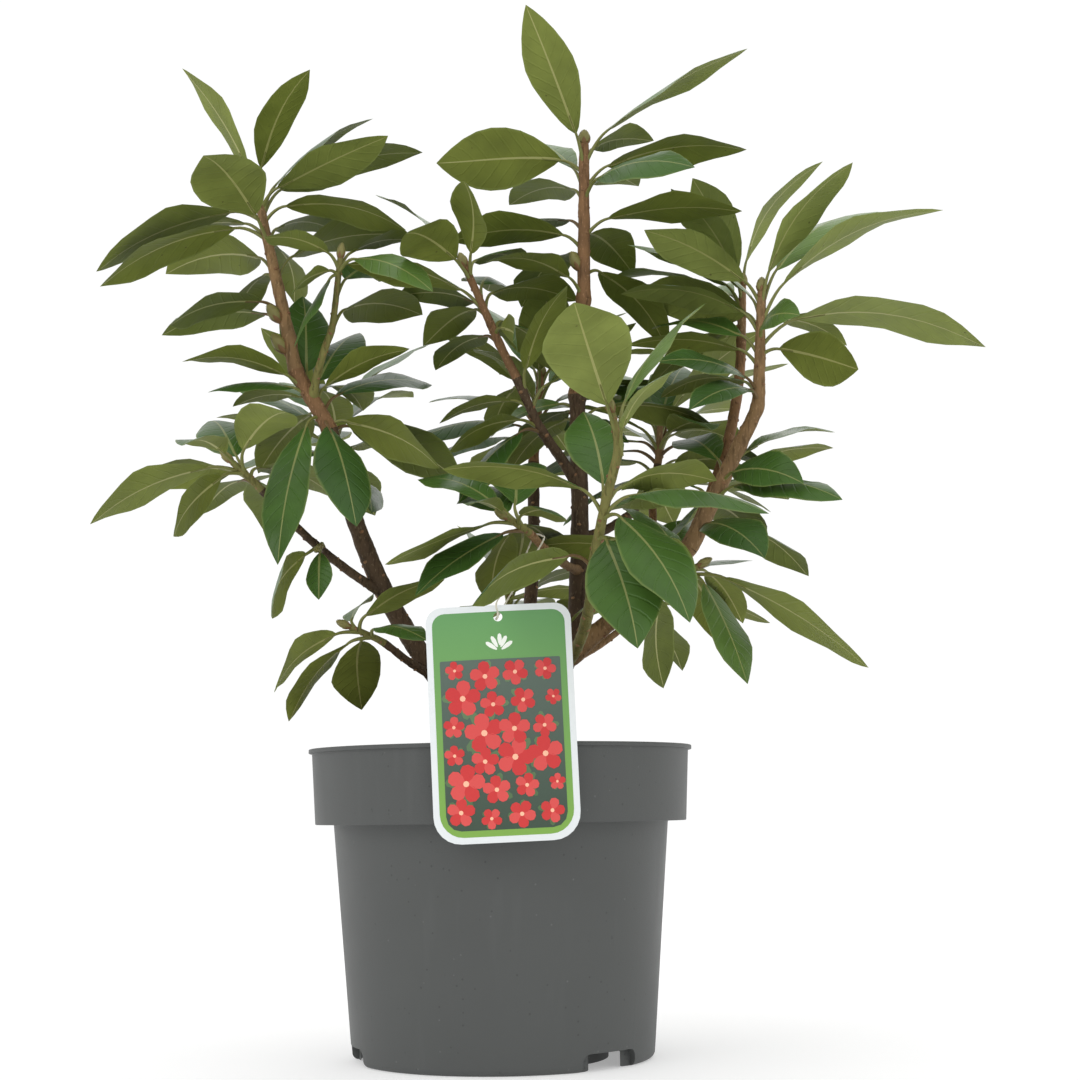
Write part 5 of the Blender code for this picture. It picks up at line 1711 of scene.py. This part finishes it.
def make_string(settings, axes):
    """Two fine strands, twisted, that go through the tag's hole and over a low bough."""
    hole = tag_hole()
    carrier = axes["bough_centre_low"]
    bough = carrier.point(LOOP_PLACE)
    reach = carrier.radius(LOOP_PLACE) + LOOP_RADIUS + 3 * GAP
    ahead = Vector((0, -1, 0))
    up = Vector((0, 0, 1))
    side = carrier.direction(LOOP_PLACE).cross(up).normalized()
    route = (
        hole,
        hole + ahead * 0.0026 + up * 0.0022,
        hole + ahead * 0.0022 + up * 0.0090,
        hole.lerp(bough, 0.60) + side * reach * 0.6 + ahead * 0.0030,
        bough + side * reach,
        bough + side * reach * 0.72 + up * reach * 0.78,
        bough + up * reach * 1.05,
        bough - side * reach * 0.72 + up * reach * 0.78,
        bough - side * reach,
        hole.lerp(bough, 0.55) - side * reach * 0.5,
        hole - ahead * 0.0050 + up * 0.0012,
    )
    curve = bpy.data.curves.new("tag_string", "CURVE")
    curve.dimensions = "3D"
    curve.bevel_depth = LOOP_RADIUS * 0.62
    curve.bevel_resolution = 1
    points = settings.string_points
    for strand in (0, 1):
        spline = curve.splines.new("POLY")
        spline.points.add(points - 1)
        spline.use_cyclic_u = True
        for i, point in enumerate(spline.points):
            place = i * len(route) / points
            here, ahead_of = closed_curve(route, place), closed_curve(route, place + 0.05)
            along = (ahead_of - here).normalized()
            out = along.orthogonal().normalized()
            angle = math.tau * (i * settings.string_turns / points + strand / 2)
            point.co = (*(here + Quaternion(along, angle) @ out * LOOP_RADIUS * 0.38), 1)
    bm = as_shaped(placed("tag_string_curve", curve))
    look = plain_look("string_pale", shade(214, 210, 192), 0.7, 0.10, 900)
    piece("tag_string", bm, [look], ["tag_loop"], 60)


def make_stage(settings):
    """The pale floor, the soft lights and the camera."""
    bm = bmesh.new()
    bmesh.ops.create_grid(bm, x_segments=4, y_segments=4, size=settings.floor_size / 2)
    floor = placed("floor", mesh_of("floor", bm))
    floor.data.materials.append(floor_look("floor_pale", settings.floor_colour[:], settings.floor_glow))

    world = bpy.data.worlds.new("studio")
    world.use_nodes = True
    sky = world.node_tree.nodes["Background"]
    sky.inputs["Color"].default_value = (*settings.sky_colour, 1)
    sky.inputs["Strength"].default_value = settings.sky_strength
    scene = bpy.context.scene
    scene.world = world
    scene.view_settings.view_transform = "Standard"

    middle = Vector((0, 0, LIGHT_AIM))
    for name, place, power, size in LIGHTS:
        lamp = bpy.data.lights.new(name, "AREA")
        lamp.shape = "DISK"
        lamp.size = size
        lamp.energy = power * settings.light_share
        made = placed(name, lamp)
        made.location = place
        made.rotation_euler = (middle - Vector(place)).to_track_quat("-Z", "Y").to_euler()

    lens = bpy.data.cameras.new("camera")
    lens.sensor_width = SENSOR
    lens.lens = settings.focal_length
    camera = placed("camera", lens)
    tilt = Matrix.Rotation(math.pi / 2 + settings.camera_tilt, 4, "X")
    roll = Matrix.Rotation(-settings.camera_roll, 4, "Z")
    place = Vector((settings.camera_aside, -settings.camera_distance, settings.camera_height))
    camera.matrix_world = Matrix.Translation(place) @ tilt @ roll
    scene.camera = camera


def length_property(name, description, default):
    return FloatProperty(
        name=name, description=description, default=default, min=0, precision=5, unit="LENGTH"
    )


def colour_property(name, description, default):
    return FloatVectorProperty(
        name=name, description=description, default=default, size=3, min=0, max=1, subtype="COLOR"
    )


def angle_property(name, description, default):
    return FloatProperty(name=name, description=description, default=default, subtype="ANGLE")


def count_property(name, description, default):
    return IntProperty(name=name, description=description, default=default, min=1)


def share_property(name, description, default):
    return FloatProperty(name=name, description=description, default=default, subtype="FACTOR")


class PotSettings(bpy.types.PropertyGroup):
    segments: count_property("Segments", "Faces round the pot", 128)
    rounding: length_property("Rounding", "Radius of its moulded corners", 0.0005)
    colour: colour_property("Plastic", "Colour of the moulded plastic", shade(83, 85, 84))


class CompostSettings(bpy.types.PropertyGroup):
    segments: count_property("Segments", "Faces round the compost", 96)
    rings: count_property("Rings", "Rounds of faces across its top", 34)
    relief: length_property("Relief", "Height of its lumps", 0.0014)
    chips: count_property("Chips", "Bark chips that lie on it", 900)


class BarkSettings(bpy.types.PropertyGroup):
    spacing: length_property("Spacing", "Distance between a limb's stations", 0.0022)
    relief: length_property("Relief", "Depth of the bark's ridges", 0.00035)
    lumps: share_property("Lumps", "Unevenness of a limb's thickness", 0.05)
    old: colour_property("Old bark", "Colour of the lowest limbs", shade(76, 59, 41))
    red: colour_property("Red bark", "Colour of the upper limbs", shade(124, 92, 61))
    tan: colour_property("Tan bark", "Colour of the right-hand limbs", shade(132, 104, 70))
    green: colour_property("Green bark", "Colour of the youngest limbs", shade(116, 113, 62))


class LeafSettings(bpy.types.PropertyGroup):
    rows: count_property("Rows", "Rows of faces along a leaf", 11)
    thickness: length_property("Thickness", "Thickness of a blade", 0.0005)
    rib: length_property("Rib", "Half width of the midrib at the leaf's foot", 0.0009)
    ripple: share_property("Ripple", "How far a margin waves, by the leaf's half width", 0.09)
    stalk: length_property("Stalk", "Radius of a leaf's stalk", 0.0010)
    upper_old: colour_property("Old upper side", "Upper colour of old leaves", shade(56, 87, 35))
    upper: colour_property("Upper side", "Upper colour of mature leaves", shade(65, 96, 38))
    upper_young: colour_property("Young upper side", "Upper colour of young leaves", shade(100, 126, 62))
    under_old: colour_property("Old underside", "Under colour of old leaves", shade(96, 107, 46))
    under: colour_property("Underside", "Under colour of mature leaves", shade(110, 119, 51))
    under_young: colour_property("Young underside", "Under colour of young leaves", shade(128, 138, 72))
    rib_colour: colour_property("Midrib", "Colour of the midribs", shade(172, 170, 108))


class TagSettings(bpy.types.PropertyGroup):
    border: length_property("Border", "Width of the bare border", 0.0035)
    card: colour_property("Card", "Colour of the bare card", shade(226, 231, 232))
    panel_low: colour_property("Panel foot", "Printed green at its foot", shade(126, 170, 66))
    panel_high: colour_property("Panel head", "Printed green at its head", shade(96, 152, 92))
    string_points: count_property("String points", "Points along each strand", 150)
    string_turns: count_property("String twist", "Turns of the strands round each other", 30)


class StageSettings(bpy.types.PropertyGroup):
    floor_size: length_property("Floor", "Side of the square floor", 8.0)
    floor_colour: colour_property("Floor colour", "Colour of the floor", (0.72, 0.72, 0.72))
    floor_glow: share_property("Floor glow", "How strongly the floor glows", 0.33)
    sky_colour: colour_property("Surround colour", "Colour of the studio's surround", (1.0, 1.0, 1.0))
    sky_strength: FloatProperty(name="Surround", description="Brightness of the surround", default=1.03)
    light_share: FloatProperty(name="Lights", description="Share of the lights' full power", default=1.0)
    focal_length: FloatProperty(name="Lens", description="Focal length in millimetres", default=65.93)
    camera_distance: length_property("Distance", "How far in front of the pot the camera stands", 1.2)
    camera_height: length_property("Height", "How high the camera stands", 0.146)
    camera_aside: length_property("Aside", "How far to the right the camera stands", 0.0257)
    camera_tilt: angle_property("Tilt", "How far up the camera looks", math.radians(7.7))
    camera_roll: angle_property("Roll", "How far the camera leans", math.radians(0.8))


class SHRUB_OT_pot(bpy.types.Operator):
    """Models the nursery pot."""

    bl_idname = "shrub.pot"
    bl_label = "Pot"

    def execute(self, context):
        make_pot(context.scene.shrub_pot)
        return {"FINISHED"}


class SHRUB_OT_compost(bpy.types.Operator):
    """Fills the pot with compost, and strews bark chips on it."""

    bl_idname = "shrub.compost"
    bl_label = "Compost"

    def execute(self, context):
        make_compost(context.scene.shrub_compost)
        return {"FINISHED"}


class SHRUB_OT_limbs(bpy.types.Operator):
    """Models the trunk, the boughs and the leafy stems with their bark."""

    bl_idname = "shrub.limbs"
    bl_label = "Trunk and boughs"

    def execute(self, context):
        make_limbs(context.scene.shrub_bark, grow_axes())
        return {"FINISHED"}


class SHRUB_OT_foliage(bpy.types.Operator):
    """Grows the leaves, their stalks and the buds."""

    bl_idname = "shrub.foliage"
    bl_label = "Foliage"

    def execute(self, context):
        settings = context.scene.shrub_leaf
        axes = grow_axes()
        foliage = grow_foliage(settings, axes)
        if len(foliage) < FEWEST_LEAVES:
            raise RuntimeError(f"only {len(foliage)} leaves found room")
        make_leaves(settings, foliage)
        make_stalks(settings, foliage)
        make_buds(settings, axes)
        return {"FINISHED"}


class SHRUB_OT_tag(bpy.types.Operator):
    """Models the hanging tag with its print, and the string that holds it."""

    bl_idname = "shrub.tag"
    bl_label = "Tag and string"

    def execute(self, context):
        settings = context.scene.shrub_tag
        make_tag(settings)
        make_string(settings, grow_axes())
        return {"FINISHED"}


class SHRUB_OT_stage(bpy.types.Operator):
    """Sets up the floor, the lights and the camera."""

    bl_idname = "shrub.stage"
    bl_label = "Stage"

    def execute(self, context):
        make_stage(context.scene.shrub_stage)
        return {"FINISHED"}


OPERATORS = (
    SHRUB_OT_stage,
    SHRUB_OT_pot,
    SHRUB_OT_compost,
    SHRUB_OT_limbs,
    SHRUB_OT_foliage,
    SHRUB_OT_tag,
)
SETTINGS = {
    "shrub_pot": PotSettings,
    "shrub_compost": CompostSettings,
    "shrub_bark": BarkSettings,
    "shrub_leaf": LeafSettings,
    "shrub_tag": TagSettings,
    "shrub_stage": StageSettings,
}


class SHRUB_PT_panel(bpy.types.Panel):
    """Lists the shrub's pieces in the 3D view's sidebar."""

    bl_idname = "SHRUB_PT_panel"
    bl_label = "Potted Shrub"
    bl_space_type = "VIEW_3D"
    bl_region_type = "UI"
    bl_category = "Shrub"

    def draw(self, context):
        for operator in OPERATORS:
            self.layout.operator(operator.bl_idname)
        for name, group in SETTINGS.items():
            box = self.layout.box()
            box.label(text=group.__name__)
            for prop in group.__annotations__:
                box.prop(getattr(context.scene, name), prop)


def register():
    for cls in (*SETTINGS.values(), *OPERATORS, SHRUB_PT_panel):
        bpy.utils.register_class(cls)
    for name, group in SETTINGS.items():
        setattr(bpy.types.Scene, name, PointerProperty(type=group))


def unregister():
    for name in SETTINGS:
        delattr(bpy.types.Scene, name)
    for cls in (SHRUB_PT_panel, *reversed(OPERATORS), *reversed(SETTINGS.values())):
        bpy.utils.unregister_class(cls)


def main():
    register()
    bpy.ops.shrub.stage()
    bpy.ops.shrub.pot()
    bpy.ops.shrub.compost()
    bpy.ops.shrub.limbs()
    bpy.ops.shrub.foliage()
    bpy.ops.shrub.tag()


if __name__ == "__main__":
    main()
